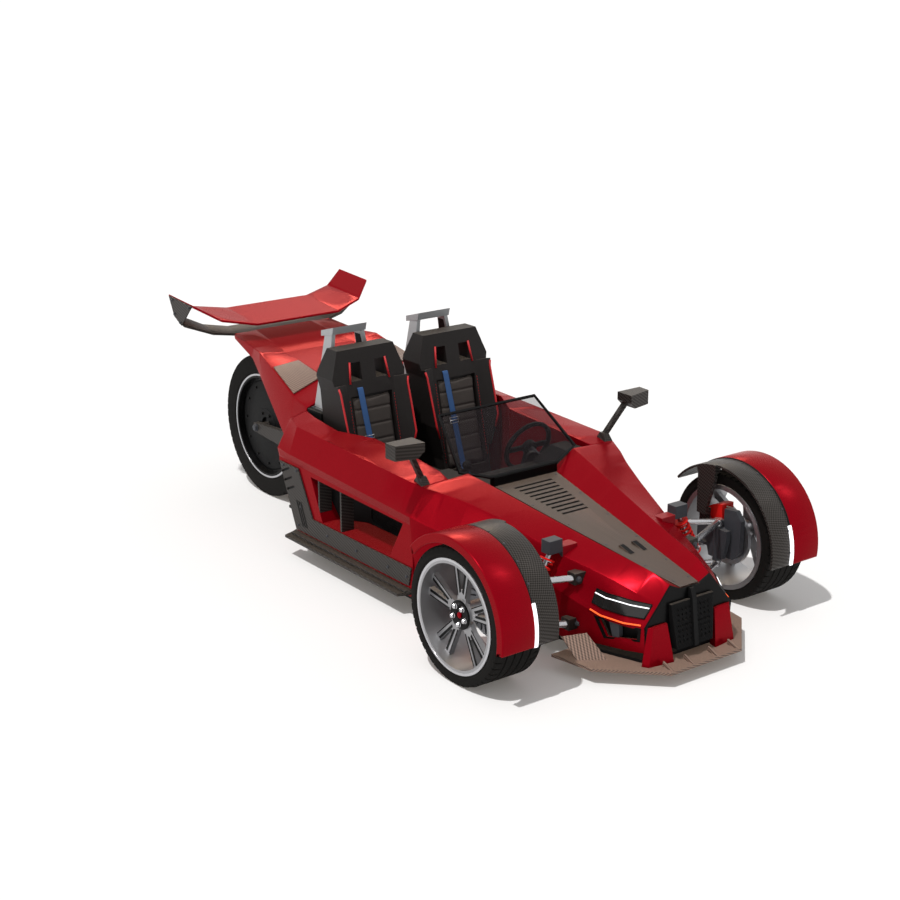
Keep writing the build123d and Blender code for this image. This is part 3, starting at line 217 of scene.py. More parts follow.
RED = (0.235, 0.0008, 0.0065)
DARK_METAL = (0.045, 0.048, 0.056)
looks = {
    "red_paint": grained("red_paint", RED, 0.27, 900.0, 0.00012, vary=0.05, specular=0.09, metal=0.4,
                         tint=(1, 0.4, 0.35)),
    "carbon": carbon("carbon", (0.004, 0.0038, 0.0037), (0.040, 0.037, 0.035)),
    "black_gloss": grained("black_gloss", (0.0025, 0.0025, 0.0027), 0.28, 500.0, 0.0001, specular=0.08),
    "black_matte": grained("black_matte", (0.006, 0.006, 0.0063), 0.55, 420.0, 0.0004, specular=0.1),
    "grey_frame": grained("grey_frame", (0.36, 0.37, 0.38), 0.42, 700.0, 0.0002, vary=0.08, metal=0.25),
    "dark_metal": grained("dark_metal", DARK_METAL, 0.48, 260.0, 0.0004, specular=0.25),
    "silver": grained("silver", (0.45, 0.45, 0.47), 0.26, 500.0, 0.0001, vary=0.06, metal=0.9, stretch=(1, 8, 1)),
    "steel": grained("steel", (0.38, 0.38, 0.40), 0.3, 600.0, 0.0002, vary=0.1, metal=0.95, stretch=(1, 10, 1)),
    "spring_red": grained("spring_red", (0.70, 0.014, 0.012), 0.34, 300.0, 0.0002, specular=0.2, tint=(1, 0.5, 0.4)),
    "rubber": grained("rubber", (0.0075, 0.0068, 0.0062), 0.72, 240.0, 0.0005, vary=0.25, specular=0.08),
    "seat_shell": grained("seat_shell", (0.011, 0.009, 0.0085), 0.55, 380.0, 0.0009, vary=0.2, specular=0.2),
    "seat_pad": grained("seat_pad", (0.055, 0.047, 0.043), 0.8, 700.0, 0.0009, vary=0.2, specular=0.2),
    "glass": glass("glass", (0.02, 0.016, 0.018), 0.30),
    "lamp": grained("lamp", (0.012, 0.0118, 0.0115), 0.12, 60.0, 0.0002, specular=0.4, coat=0.15),
    "engine_metal": grained("engine_metal", (0.2, 0.2, 0.205), 0.5, 180.0, 0.0006, metal=0.7),
}
white_lamp = glowing("white_lamp", (0.95, 0.96, 1.0), 1.0)
orange_lamp = glowing("orange_lamp", (1.0, 0.12, 0.02), 0.6)
red_lamp = glowing("red_lamp", (0.6, 0.004, 0.006), 0.35)
belt_blue = grained("belt_blue", (0.022, 0.085, 0.24), 0.65, 900.0, 0.0006, stretch=(1, 6, 1))
piping_red = grained("piping_red", (0.5, 0.008, 0.014), 0.5, 800.0, 0.0003)
# Painted sheen: a lighter, tan copy of the carbon that stands in for the warm back light on upward faces
carbon_painted_sheen = carbon("carbon_painted_sheen", (0.060, 0.042, 0.034), (0.32, 0.215, 0.170), 0.0075)
# Painted sheen: a browner, lighter copy of the carbon that stands in for the warm light on the hood's slope
carbon_hood_painted_sheen = carbon("carbon_hood_painted_sheen", (0.018, 0.014, 0.012), (0.105, 0.078, 0.064), 0.010)
dark_satin = grained("dark_satin", (0.010, 0.0095, 0.009), 0.4, 260.0, 0.0004, specular=0.28, tint=(1, 0.86, 0.76))
chrome = grained("chrome", (0.50, 0.50, 0.52), 0.16, 200.0, 0.0001, vary=0.04, metal=1.0)


def wheel_metal(name, centre, lip_radius):
    """Polished lip, bright barrel and grey spokes."""
    mat, tree, bsdf = shader(name, (0.6, 0.6, 0.62), 0.25, metal=0.9)
    x, y, z = object_xyz(tree)
    over_x = math(tree, "SUBTRACT", x, centre.x)
    over_z = math(tree, "SUBTRACT", z, centre.z)
    radius = math(tree, "SQRT", math(tree, "ADD", math(tree, "POWER", over_x, 2), math(tree, "POWER", over_z, 2)), 0)
    off_middle = math(tree, "ABSOLUTE", y, 0)
    lip = math(tree, "MULTIPLY", math(tree, "GREATER_THAN", radius, lip_radius),
               math(tree, "GREATER_THAN", off_middle, abs(centre.y) + SPOKE_FACE))
    grain = noise(tree, 400.0)
    barrel = math(tree, "GREATER_THAN", radius, BARREL_RADIUS)
    inside = mix(tree, barrel, (0.31, 0.31, 0.32), (0.33, 0.33, 0.34))
    tree.links.new(mix(tree, lip, inside, (0.55, 0.55, 0.57)), bsdf.inputs["Base Color"])
    tree.links.new(spread(tree, lip, 0.42, 0.2), bsdf.inputs["Roughness"])
    bump(tree, bsdf, grain, 0.2, 0.0002)
    return mat


def part_painted(name, within, inside, outside):
    """One colour up to a distance from the middle plane, another past it."""
    mat, tree, bsdf = shader(name, outside, 0.45, specular=0.15)
    past = math(tree, "GREATER_THAN", math(tree, "ABSOLUTE", object_xyz(tree)[1], 0), within)
    tree.links.new(mix(tree, past, inside, outside), bsdf.inputs["Base Color"])
    grain = noise(tree, 260.0)
    tree.links.new(spread(tree, grain, 0.38, 0.52), bsdf.inputs["Roughness"])
    bump(tree, bsdf, grain, 0.3, 0.0003)
    return mat


# How wide the edges of the CAD solids are rounded, by slot
EDGES = {"red_paint": 0.006, "carbon": 0.0015, "grey_frame": 0.003, "seat_shell": 0.012, "dark_metal": 0.003}


def soften(obj, width):
    """Rounds the sharp edges of a solid a little."""
    weld = obj.modifiers.new("weld", "WELD")
    weld.merge_threshold = 0.00005
    edge = obj.modifiers.new("edges", "BEVEL")
    edge.width = width
    edge.segments = 3
    edge.limit_method = "ANGLE"
    edge.angle_limit = radians(12)
    edge.harden_normals = True


for sub in frame["record"]["subparts"]:
    node = nodes[sub["node"]]
    node.data.materials.clear()
    node.data.materials.append(looks[sub["material_slot"]])
    if sub["material_slot"] in EDGES:
        soften(node, EDGES[sub["material_slot"]])
for name, side in SIDES.items():
    centre = flip(side) @ FRONT_AXLE
    nodes[f"rim_{name}"].data.materials[0] = wheel_metal(f"wheel_{name}", centre, FRONT_BEAD + 0.004)

nodes["arm_brackets"].data.materials[0] = dark_satin
# The splitter and tail panels get the carbon with painted sheen, lighter and tan where the warm light falls on their
# tops
nodes["splitter"].data.materials[0] = carbon_painted_sheen
nodes["tail_panels"].data.materials[0] = carbon_painted_sheen
# The hood panel gets the carbon with painted sheen, browner where the warm light falls on it
nodes["hood_panel"].data.materials[0] = carbon_hood_painted_sheen
nodes["damper_towers"].data.materials[0] = part_painted("tower_paint", TOWER_RED_HALF, RED, DARK_METAL)

# Shapes: each is a pair of a list of points and a list of faces


def joined(shapes):
    points, faces = [], []
    for shape_points, shape_faces in shapes:
        base = len(points)
        points += shape_points
        faces += [[i + base for i in face] for face in shape_faces]
    return points, faces


def moved(shape, matrix):
    return [matrix @ p for p in shape[0]], shape[1]


def prism(outline, move):
    """A flat outline of points, given thickness by a move."""
    count = len(outline)
    points = [Vector(p) for p in outline]
    points += [p + Vector(move) for p in points]
    faces = [list(range(count)), list(range(2 * count - 1, count - 1, -1))]
    faces += [[i, (i + 1) % count, (i + 1) % count + count, i + count] for i in range(count)]
    return points, faces


def block(centre, size):
    """A brick with its long edges cut off."""
    half = Vector(size) / 2
    cut = min(size) * 0.18
    outline = [(-half.y, -half.z + cut), (-half.y + cut, -half.z), (half.y - cut, -half.z), (half.y, -half.z + cut),
               (half.y, half.z - cut), (half.y - cut, half.z), (-half.y + cut, half.z), (-half.y, half.z - cut)]
    start = [Vector((-half.x, y, z)) + Vector(centre) for y, z in outline]
    return prism(start, (size[0], 0, 0))


def skin(count, width, wrap=True, steps=None):
    """Faces between neighbouring rows of points: count rows, width points in each."""
    faces = []
    for i in range(count if wrap else count - 1):
        near, far = i * width, (i + 1) % count * width
        for j in range(width if steps is None else steps):
            k = (j + 1) % width
            faces.append([near + j, near + k, far + k, far + j])
    return faces


def four_sided(rows):
    """A bar through rows of four points, closed at both ends."""
    last = 4 * (len(rows) - 1)
    ends = [[0, 1, 2, 3], [last, last + 3, last + 2, last + 1]]
    return [p for row in rows for p in row], skin(len(rows), 4, wrap=False) + ends


def lathe(profile, centre, axis, count=48, closed=False):
    """A profile of (along the axis, out from it) turned round the axis. An open one is capped where it ends."""
    axis = Vector(axis).normalized()
    first = axis.orthogonal().normalized()
    second = axis.cross(first)
    points = []
    for i in range(count):
        turn = 2 * pi * i / count
        spoke = first * cos(turn) + second * sin(turn)
        points += [Vector(centre) + axis * along + spoke * out for along, out in profile]
    width = len(profile)
    faces = skin(count, width, steps=width if closed else width - 1)
    if not closed:
        faces.append([i * width for i in range(count)])
        faces.append([i * width + width - 1 for i in reversed(range(count))])
    return points, faces


def tube(path, radius, sides=8, loop=False):
    """A round rod along a path."""
    path = [Vector(p) for p in path]
    count = len(path)
    points = []
    up = Vector((0, 0, 1))
    for i, place in enumerate(path):
        ahead = path[(i + 1) % count] if loop or i + 1 < count else place
        behind = path[i - 1] if loop or i > 0 else place
        along = (ahead - behind).normalized()
        across = along.cross(up)
        if across.length < 0.2:
            across = along.cross(Vector((0, 1, 0)))
        across.normalize()
        lift = across.cross(along)
        for j in range(sides):
            turn = 2 * pi * j / sides
            points.append(place + across * radius * cos(turn) + lift * radius * sin(turn))
    faces = skin(count, sides, wrap=loop)
    if not loop:
        faces.append(list(range(sides)))
        faces.append(list(range(count * sides - 1, (count - 1) * sides - 1, -1)))
    return points, faces


def bolt(place, out, size=0.014):
    """A hexagon head on a washer."""
    out = Vector(out).normalized()
    washer = lathe([(-0.001, size * 0.75), (size * 0.12, size * 0.75), (size * 0.16, size * 0.68)], place, out, 16)
    head = lathe([(0, size * 0.56), (size * 0.5, size * 0.56), (size * 0.6, size * 0.45)], place, out, 6)
    return joined([washer, head])


def piece(name, shape, slot, body="chassis", look=None, smooth=False, bevel=0.0):
    """Makes the shape an object that rides on a body."""
    mesh = bpy.data.meshes.new(name)
    mesh.from_pydata(shape[0], [], shape[1])
    mesh.validate()
    mesh.materials.append(look or looks[slot])
    obj = bpy.data.objects.new(name, mesh)
    scene.collection.objects.link(obj)
    tidy_normals(mesh)
    if smooth:
        mesh.shade_smooth()
    if bevel:
        edge = obj.modifiers.new("edges", "BEVEL")
        edge.width = bevel
        edge.segments = 2
        edge.limit_method = "ANGLE"
    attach(obj, body)
    return obj


def tidy_normals(mesh):
    work = bmesh.new()
    work.from_mesh(mesh)
    bmesh.ops.recalc_face_normals(work, faces=work.faces)
    work.to_mesh(mesh)
    work.free()


def half_and_mirror(shapes):
    """The left-hand shapes together with their mirror images."""
    left = joined(shapes)
    right = moved(left, flip(-1))
    return joined([left, right])


# Tyres with road tread


def tyre(name, centre, radius, half, bead, flange, blocks, ribs, body, node):
    """A tyre with round grooves between its ribs and slanted slots in its shoulders."""
    groove_width, groove_depth, rounding = 0.009, 0.006, 0.013
    shoulder = ribs[-1]
    side = [(half - 0.009, bead), (half - 0.009, flange), (half - 0.003, flange + 0.004),
            (half - 0.003, flange + 0.010), (half - 0.0005, flange + 0.013), (half, (flange + radius) / 2),
            (half - 0.001, radius - rounding)]
    side += [(half - rounding * (1 - cos(radians(a))), radius - rounding * (1 - sin(radians(a)))) for a in (30, 60, 90)]
    tread = []
    for rib in reversed(ribs):
        tread += [(rib + groove_width / 2, radius), (rib + groove_width / 2 - 0.002, radius - groove_depth),
                  (rib - groove_width / 2 + 0.002, radius - groove_depth), (rib - groove_width / 2, radius)]
    right = side + tread
    profile = right + [(-along, out) for along, out in reversed(right)]
    step = 2 * pi / blocks
    turns = []
    for i in range(blocks):
        for share, slotted in ((0.0, False), (0.03, True), (0.15, True), (0.18, False), (0.6, False)):
            turns.append((i * step + share * step, slotted))
    points = []
    for turn, slotted in turns:
        for along, out in profile:
            in_shoulder = abs(along) > shoulder + groove_width and out > radius - 0.011
            sunk = groove_depth if slotted and in_shoulder else 0.0
            skew = turn + (abs(along) / half) * step * 0.9 if out > radius - rounding else turn + step * 0.9
            spoke = Vector((cos(skew), 0, sin(skew)))
            points.append(centre + spoke * (out - sunk) + Vector((0, along, 0)))
    obj = piece(name, (points, skin(len(turns), len(profile))), "rubber", body)
    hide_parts(node)


for name, side in SIDES.items():
    tyre(f"road_tyre_{name}", flip(side) @ FRONT_AXLE, FRONT_RADIUS, FRONT_HALF_WIDTH, FRONT_BEAD, FRONT_FLANGE,
         52, (0.022, 0.068), f"front_wheel_{name}", f"tyre_{name}")
tyre("road_tyre_rear", REAR_AXLE, REAR_RADIUS, REAR_HALF_WIDTH, REAR_BEAD, REAR_FLANGE, 60, (0.045, 0.12, 0.195),
     "rear_wheel", "tyre_rear")

# Front wheels: hub plate with nuts and cap, dark inlays on the spokes, polished lip, slots in the brake disc
SPOKE_INLAY = ((0.108, 0.004), (0.236, 0.0265), (0.236, 0.0395), (0.100, 0.015))
SPOKE_EDGE = ((0.085, 0.0245), (0.232, 0.0545), (0.232, 0.0585), (0.085, 0.0295))
for name, side in SIDES.items():
    to_side = flip(side)
    body = f"front_wheel_{name}"
    out = Vector((0, 1, 0))
    face = FRONT_AXLE + out * HUB_FACE
    plate = lathe([(0.0005, 0.069), (0.004, 0.069), (0.007, 0.064), (0.007, 0.024), (0.003, 0.022)], face, out, 40)
    piece(f"hub_plate_{name}", moved(plate, to_side), "black_gloss", body, bevel=0.0008)
    nuts = []
    for i in range(5):
        turn = radians(90 + 36 + 72 * i)
        place = face + out * 0.006 + Vector((cos(turn), 0, sin(turn))) * 0.045
        nuts.append(lathe([(0, 0.0135), (0.004, 0.0135), (0.006, 0.0115)], place, out, 20))
        nuts.append(lathe([(0.004, 0.0115), (0.013, 0.0115), (0.017, 0.009), (0.019, 0.004)], place, out, 12))
    piece(f"wheel_nuts_{name}", moved(joined(nuts), to_side), "steel", body, chrome)
    cap = lathe([(0.002, 0.014), (0.009, 0.014), (0.012, 0.010), (0.013, 0.004)], face, out, 24)
    piece(f"hub_cap_{name}", moved(cap, to_side), "red_paint", body)
    inlays = []
    on_spokes = Matrix.Translation(FRONT_AXLE + out * (SPOKE_FACE + 0.0004))
    for i in range(5):
        turn = on_spokes @ Matrix.Rotation(-radians(90 + 72 * i), 4, "Y")
        for way in (1, -1):
            for outline in (SPOKE_INLAY, SPOKE_EDGE):
                strip = [(along, 0, off * way) for along, off in outline]
                inlays.append(moved(prism(strip, (0, 0.0012, 0)), turn))
    piece(f"spoke_inlays_{name}", moved(joined(inlays), to_side), "black_gloss", body)
    lip = lathe([(RIM_FACE - 0.004, FRONT_FLANGE + 0.001), (RIM_FACE + 0.0006, FRONT_FLANGE - 0.001),
                 (RIM_FACE + 0.0006, FRONT_BEAD + 0.006), (RIM_FACE - 0.004, FRONT_BEAD + 0.003)],
                FRONT_AXLE, out, 96, closed=True)
    piece(f"rim_lip_{name}", moved(lip, to_side), "silver", body, chrome)
    vents = []
    for i in range(24):
        turn = radians(15 * i)
        spoke = Vector((cos(turn), 0, sin(turn)))
        skew = Vector((cos(turn + 0.16), 0, sin(turn + 0.16)))
        middle = FRONT_AXLE + out * DISC_FACE
        vents.append(tube([middle + spoke * 0.095, middle + skew * 0.14], 0.0032, 6))
    piece(f"disc_slots_{name}", moved(joined(vents), to_side), "dark_metal", body)

# Rear wheel: silver ring, bolted cover plates and axle nuts
rings, covers, bolts_rear = [], [], []
for side in SIDES.values():
    out = Vector((0, side, 0))
    rings.append(lathe([(0.286, REAR_FLANGE + 0.001), (0.2899, REAR_FLANGE - 0.002), (0.2899, REAR_BEAD + 0.004),
                        (0.284, REAR_BEAD)], REAR_AXLE, out, 96, closed=True))
    covers.append(lathe([(REAR_DISH + 0.0003, 0.268), (REAR_DISH + 0.004, 0.262), (REAR_DISH + 0.004, 0.11),
                         (REAR_DISH + 0.014, 0.10), (REAR_DISH + 0.014, 0.05)], REAR_AXLE, out, 64, closed=True))
    for i in range(12):
        turn = radians(30 * i)
        place = REAR_AXLE + Vector((cos(turn), 0, sin(turn))) * 0.235 + out * (REAR_DISH + 0.004)
        bolts_rear.append(bolt(place, out, 0.012))
    for i in range(6):
        turn = radians(60 * i)
        place = REAR_AXLE + Vector((cos(turn), 0, sin(turn))) * 0.075 + out * (REAR_DISH + 0.014)
        bolts_rear.append(bolt(place, out, 0.014))
piece("rear_rim_rings", joined(rings), "silver", "rear_wheel")
piece("rear_covers", joined(covers), "black_matte", "rear_wheel")
piece("rear_cover_bolts", joined(bolts_rear), "black_gloss", "rear_wheel")
axle_nuts = []
for side in SIDES.values():
    place = REAR_AXLE + Vector((0, side * 0.339, 0))
    axle_nuts.append(lathe([(0, 0.023), (0.003, 0.023)], place, (0, side, 0), 24))
    axle_nuts.append(lathe([(0.002, 0.019), (0.014, 0.019), (0.016, 0.015)], place, (0, side, 0), 6))
piece("axle_nuts", joined(axle_nuts), "dark_metal", bevel=0.0006)

# Mudguards: lamp strip, bead along the split and rivets


def arc(radius, y, start, end, count):
    """Points round the front axle at one width, from one angle to another."""
    turns = [radians(start + (end - start) * i / (count - 1)) for i in range(count)]
    return [Vector((FRONT_AXLE.x + radius * cos(t), y, FRONT_AXLE.z + radius * sin(t))) for t in turns]


for name, side in SIDES.items():
    body = f"knuckle_{name}"
    low = arc(GUARD_RADIUS - 0.006, GUARD_SPLIT_Y - 0.015, -7.8, 22, 14)
    high = arc(GUARD_RADIUS + 0.003, GUARD_SPLIT_Y - 0.015, -7.8, 22, 14)
    wide = Vector((0, 0.018, 0))
    strip = four_sided([(inner, outer, outer + wide, inner + wide) for inner, outer in zip(low, high)])
    piece(f"guard_lamp_{name}", moved(strip, flip(side)), "lamp", body, white_lamp)
    seam = tube(arc(GUARD_RADIUS - 0.004, GUARD_SPLIT_Y - 0.001, -7.5, 138.5, 60), 0.0035, 6)
    piece(f"guard_seam_{name}", moved(seam, flip(side)), "black_matte", body)
    rivets = []
    for i in range(9):
        turn = radians(2 + 16.5 * i)
        spoke = Vector((cos(turn), 0, sin(turn)))
        place = FRONT_AXLE + spoke * (GUARD_RADIUS - 0.005) + Vector((0, -0.043, 0))
        rivets.append(lathe([(-0.001, 0.006), (0.0015, 0.006), (0.003, 0.003)], place, spoke, 12))
    piece(f"guard_rivets_{name}", moved(joined(rivets), flip(side)), "dark_metal", body)

# Coil springs over the dampers
DAMPER_HEAD = Vector((1.313, 0.410, 0.505))
DAMPER_FOOT = Vector((1.313, 0.575, 0.211))
SPRING_START, SPRING_END = 0.046, 0.221
COILS, COIL_STEPS, COIL_RADIUS = 6.5, 156, 0.0285
damper_axis = (DAMPER_FOOT - DAMPER_HEAD).normalized()
damper_side = damper_axis.cross(Vector((1, 0, 0)))
coil = []
for i in range(COIL_STEPS + 1):
    turn = 2 * pi * COILS * i / COIL_STEPS
    along = SPRING_START + (SPRING_END - SPRING_START) * i / COIL_STEPS
    radial = Vector((1, 0, 0)) * cos(turn) + damper_side * sin(turn)
    coil.append(DAMPER_HEAD + damper_axis * along + radial * COIL_RADIUS)
springs = piece("coil_springs", half_and_mirror([tube(coil, 0.006, 8)]), "spring_red", smooth=True)
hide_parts("springs")
collars = []
for along in (0.034, 0.236):
    ring = [(-0.004, 0.036), (0.004, 0.036), (0.006, 0.033), (0.006, 0.014), (-0.004, 0.014)]
    collars.append(lathe(ring, DAMPER_HEAD + damper_axis * along, damper_axis, 32, closed=True))
piece("spring_collars", half_and_mirror(collars), "spring_red")

# Headlamps: lit line along the top of the lens, orange line under it and a dark bezel. Columns: x, then y and z of
# the lens's top and bottom edges on the flank.
LENS = [(1.548, 0.3196, 0.3775, 0.3490, 0.3170), (1.600, 0.3025, 0.3652, 0.3324, 0.3012),
        (1.720, 0.2571, 0.3574, 0.2953, 0.2947), (1.793, 0.2085, 0.3499, 0.2540, 0.2940)]


def on_lens(row, share, proud):
    """A point on the lens at a share of the way from its top edge to its bottom edge."""
    x, top_y, top_z, low_y, low_z = row
    top, low = Vector((x, top_y, top_z)), Vector((x, low_y, low_z))
    out = Vector((0, top_z - low_z, low_y - top_y)).normalized()
    return top.lerp(low, share) + out * proud


led = tube([on_lens(row, 0.28, 0.0085) for row in LENS], 0.0028, 8)
piece("headlamp_lines", half_and_mirror([led]), "lamp", look=white_lamp)
orange = tube([on_lens(row, 1.47, 0.003) for row in LENS], 0.004, 8)
piece("turn_lines", half_and_mirror([orange]), "lamp", look=orange_lamp)
bezel_path = [on_lens(row, -0.02, 0.006) for row in LENS] + [on_lens(row, 1.0, 0.006) for row in reversed(LENS)]
piece("lens_bezels", half_and_mirror([tube(bezel_path, 0.003, 6, loop=True)]), "black_gloss")

# Lower intakes: a dark surround on the flank under the lamps. Columns: x, then y and z of the flank's top and foot.
FLANK = [(1.480, 0.385, 0.305, 0.360, 0.110), (1.600, 0.347, 0.270, 0.330, 0.122),
         (1.720, 0.314, 0.264, 0.298, 0.128), (1.810, 0.272, 0.262, 0.262, 0.134)]
INTAKE = [(1.588, 0.256), (1.785, 0.248), (1.778, 0.196), (1.626, 0.172)]
SURROUND = [(1.566, 0.2635), (1.797, 0.256), (1.790, 0.187), (1.612, 0.160)]


def on_flank(x, z, proud):
    """A point of the nose's flank under the lamp, out from it along Y."""
    near, far = next(pair for pair in zip(FLANK, FLANK[1:]) if x <= pair[1][0])
    share = (x - near[0]) / (far[0] - near[0])
    top_y, top_z, foot_y, foot_z = (a + (b - a) * share for a, b in zip(near[1:], far[1:]))
    return Vector((x, foot_y + (top_y - foot_y) * (z - foot_z) / (top_z - foot_z) + proud, z))


def band(outer, inner, move):
    """A frame between two outlines of the same number of points, given thickness by a move."""
    shapes = []
    for i in range(len(outer)):
        j = (i + 1) % len(outer)
        shapes.append(prism([outer[i], outer[j], inner[j], inner[i]], move))
    return joined(shapes)


surround = band([on_flank(x, z, 0.0) for x, z in SURROUND], [on_flank(x, z, 0.0) for x, z in INTAKE], (0, 0.003, 0))
duct = prism([on_flank(x, z, -0.03) for x, z in ((1.640, 0.252), (1.690, 0.250), (1.686, 0.182), (1.652, 0.176))],
             (0, 0.026, 0))
backing = prism([on_flank(x, z, -0.045) for x, z in SURROUND], (0, 0.004, 0))
piece("intake_backs", half_and_mirror([backing]), "black_matte")
piece("intake_surrounds", half_and_mirror([surround]), "black_gloss")
piece("intake_ducts", half_and_mirror([duct]), "dark_metal", bevel=0.002)

# Hood: blades and dark ground in the louvres, scoop faces and fasteners. It slopes from the cowl to the mask.
HOOD_REAR = Vector((0.600, 0, 0.602))
HOOD_FRONT = Vector((1.810, 0, 0.409))
HOOD_REAR_HALF, HOOD_TAPER, HOOD_LENGTH = 0.204, 0.147, 1.2253
LOUVRE_PITCH = 0.036
hood_along = (HOOD_FRONT - HOOD_REAR).normalized()
hood_up = Vector((-hood_along.z, 0, hood_along.x))


def on_hood(along, across, up=0.0):
    """A point on top of the hood panel, or over it."""
    return HOOD_REAR + hood_along * along + Vector((0, across, 0)) + hood_up * up


def hood_half(along):
    """Half the width of the hood panel."""
    return HOOD_REAR_HALF - HOOD_TAPER * along / HOOD_LENGTH


blades = []
for i in range(10):
    along = 0.095 + LOUVRE_PITCH * i
    half = hood_half(along) - 0.074
    outline = [on_hood(along - 0.006, -half, -0.001), on_hood(along + 0.005, -half, -0.014),
               on_hood(along + 0.0055, -half, -0.0125), on_hood(along - 0.0055, -half, 0.0005)]
    blades.append(prism(outline, (0, 2 * half, 0)))
ground = [on_hood(along, across, -0.0056) for along, across in
          ((0.080, -0.125), (0.440, -0.085), (0.440, 0.085), (0.080, 0.125))]
blades.append(prism(ground, hood_up * 0.001))
piece("louvre_blades", joined(blades), "black_matte")
scoop_faces = []
for y in (-0.040, 0.040):
    outline = [on_hood(along, y + off, up) for along, off, up in
               ((0.806, -0.012, 0.0092), (0.886, -0.012, 0.0005), (0.886, 0.012, 0.0005), (0.806, 0.012, 0.0092))]
    scoop_faces.append(prism(outline, hood_up * 0.0012))
piece("scoop_faces", joined(scoop_faces), "black_gloss")
fasteners = []
for along in (0.06, 0.28, 0.52, 0.76, 1.0, 1.17):
    place = on_hood(along, hood_half(along) - 0.018)
    fasteners.append(lathe([(-0.001, 0.006), (0.001, 0.006), (0.002, 0.004)], place, hood_up, 14))
piece("hood_fasteners", half_and_mirror(fasteners), "dark_metal")

# Grille: a fine mesh on the two sloping fronts, and caps on top
GRILLE_FOOT, GRILLE_TOP = Vector((1.866, 0, 0.130)), Vector((1.836, 0, 0.346))
GRILLE_LENGTH = (GRILLE_TOP - GRILLE_FOOT).length
GRILLE_OUT = Vector((0.990, 0, 0.1376))
GRILLE_POST, GRILLE_LOW_Y, GRILLE_HIGH_Y = 0.014, 0.110, 0.132
MESH_PITCH = 0.012


def grille_span(up):
    """How far out the grille reaches at a height on its front."""
    return GRILLE_LOW_Y + (GRILLE_HIGH_Y - GRILLE_LOW_Y) * up / GRILLE_LENGTH


def grille_wire(start_y, slope):
    """The run of a slanted wire that lies on the left front, as points, or None."""
    inside = []
    for i in range(91):
        up = GRILLE_LENGTH * i / 90
        y = start_y + slope * up
        if GRILLE_POST <= y <= grille_span(up):
            inside.append(GRILLE_FOOT.lerp(GRILLE_TOP, up / GRILLE_LENGTH) + Vector((0, y, 0)) + GRILLE_OUT * 0.0008)
    return [inside[0], inside[-1]] if len(inside) > 2 else None


grille_wires = []
for i in range(24):
    for start_y, slope in ((0.126 - MESH_PITCH * i, 0.58), (MESH_PITCH * i, -0.58)):
        run = grille_wire(start_y, slope)
        if run:
            grille_wires.append(tube(run, 0.0014, 4))
piece("grille_mesh", half_and_mirror(grille_wires), "black_matte")
cap = [(1.8205, 0.013, 0.3462), (1.8365, 0.013, 0.3462), (1.8365, 0.1335, 0.3462), (1.8205, 0.1335, 0.3462)]
piece("grille_caps", half_and_mirror([prism(cap, (0, 0, 0.0018))]), "carbon")

# Dark lining on the back wall of the side intakes, where the wall slants inward
lining = [prism([(-0.308, 0.5905, 0.486), (-0.25, 0.5905, 0.486), (-0.25, 0.5905, 0.36)], (0, 0.0015, 0)),
          prism([(-0.25, 0.5905, 0.486), (-0.052, 0.4905, 0.484), (-0.052, 0.4905, 0.2665), (-0.205, 0.568, 0.2640),
                 (-0.25, 0.5905, 0.36)], (0, 0.0015, 0)),
          prism([(-0.052, 0.4905, 0.484), (0.515, 0.4905, 0.4735), (0.41, 0.4905, 0.2735), (-0.052, 0.4905, 0.2665)],
                (0, 0.0012, 0))]
piece("intake_lining", half_and_mirror(lining), "black_matte")

# Sill trims: dark backs in the louvre slots, and slanted fins along the rear edge
SLOT_CENTRES = ((-0.548, 0.470), (-0.524, 0.425), (-0.500, 0.380))
TRIM_REAR_TOP, TRIM_REAR_FOOT = Vector((-0.610, 0.6885, 0.505)), Vector((-0.456, 0.6885, 0.160))
trim_dark = []
for x, z in SLOT_CENTRES:
    lean = Vector((cos(radians(25)), 0, sin(radians(25))))
    rise = Vector((-lean.z, 0, lean.x))
    middle = Vector((x, 0.6803, z))
    trim_dark.append(prism([middle + lean * (a * 0.039) + rise * (b * 0.0055) for a, b in
                            ((-1, -1), (1, -1), (1, 1), (-1, 1))], (0, 0.002, 0)))
for inward in (0.085, 0.105, 0.125):
    top = TRIM_REAR_TOP.lerp(TRIM_REAR_FOOT, 0.52) + Vector((inward, 0, 0))
    foot = TRIM_REAR_TOP.lerp(TRIM_REAR_FOOT, 0.90) + Vector((inward, 0, 0))
    trim_dark.append(prism([top, top + Vector((0.007, 0, 0)), foot + Vector((0.007, 0, 0)), foot], (0, 0.0015, 0)))
piece("trim_backs", half_and_mirror(trim_dark), "black_matte")

# Radiator mesh and its border in the side intakes
MESH_Y = 0.497
MESH_LOW, MESH_HIGH, MESH_REAR, MESH_FOOT_FRONT, MESH_LEAN = 0.279, 0.470, -0.015, 0.402, 0.55
MESH_CUT = 0.03


def mesh_front(z):
    """How far forward the radiator mesh reaches at a height."""
    return MESH_FOOT_FRONT + (z - MESH_LOW) * MESH_LEAN


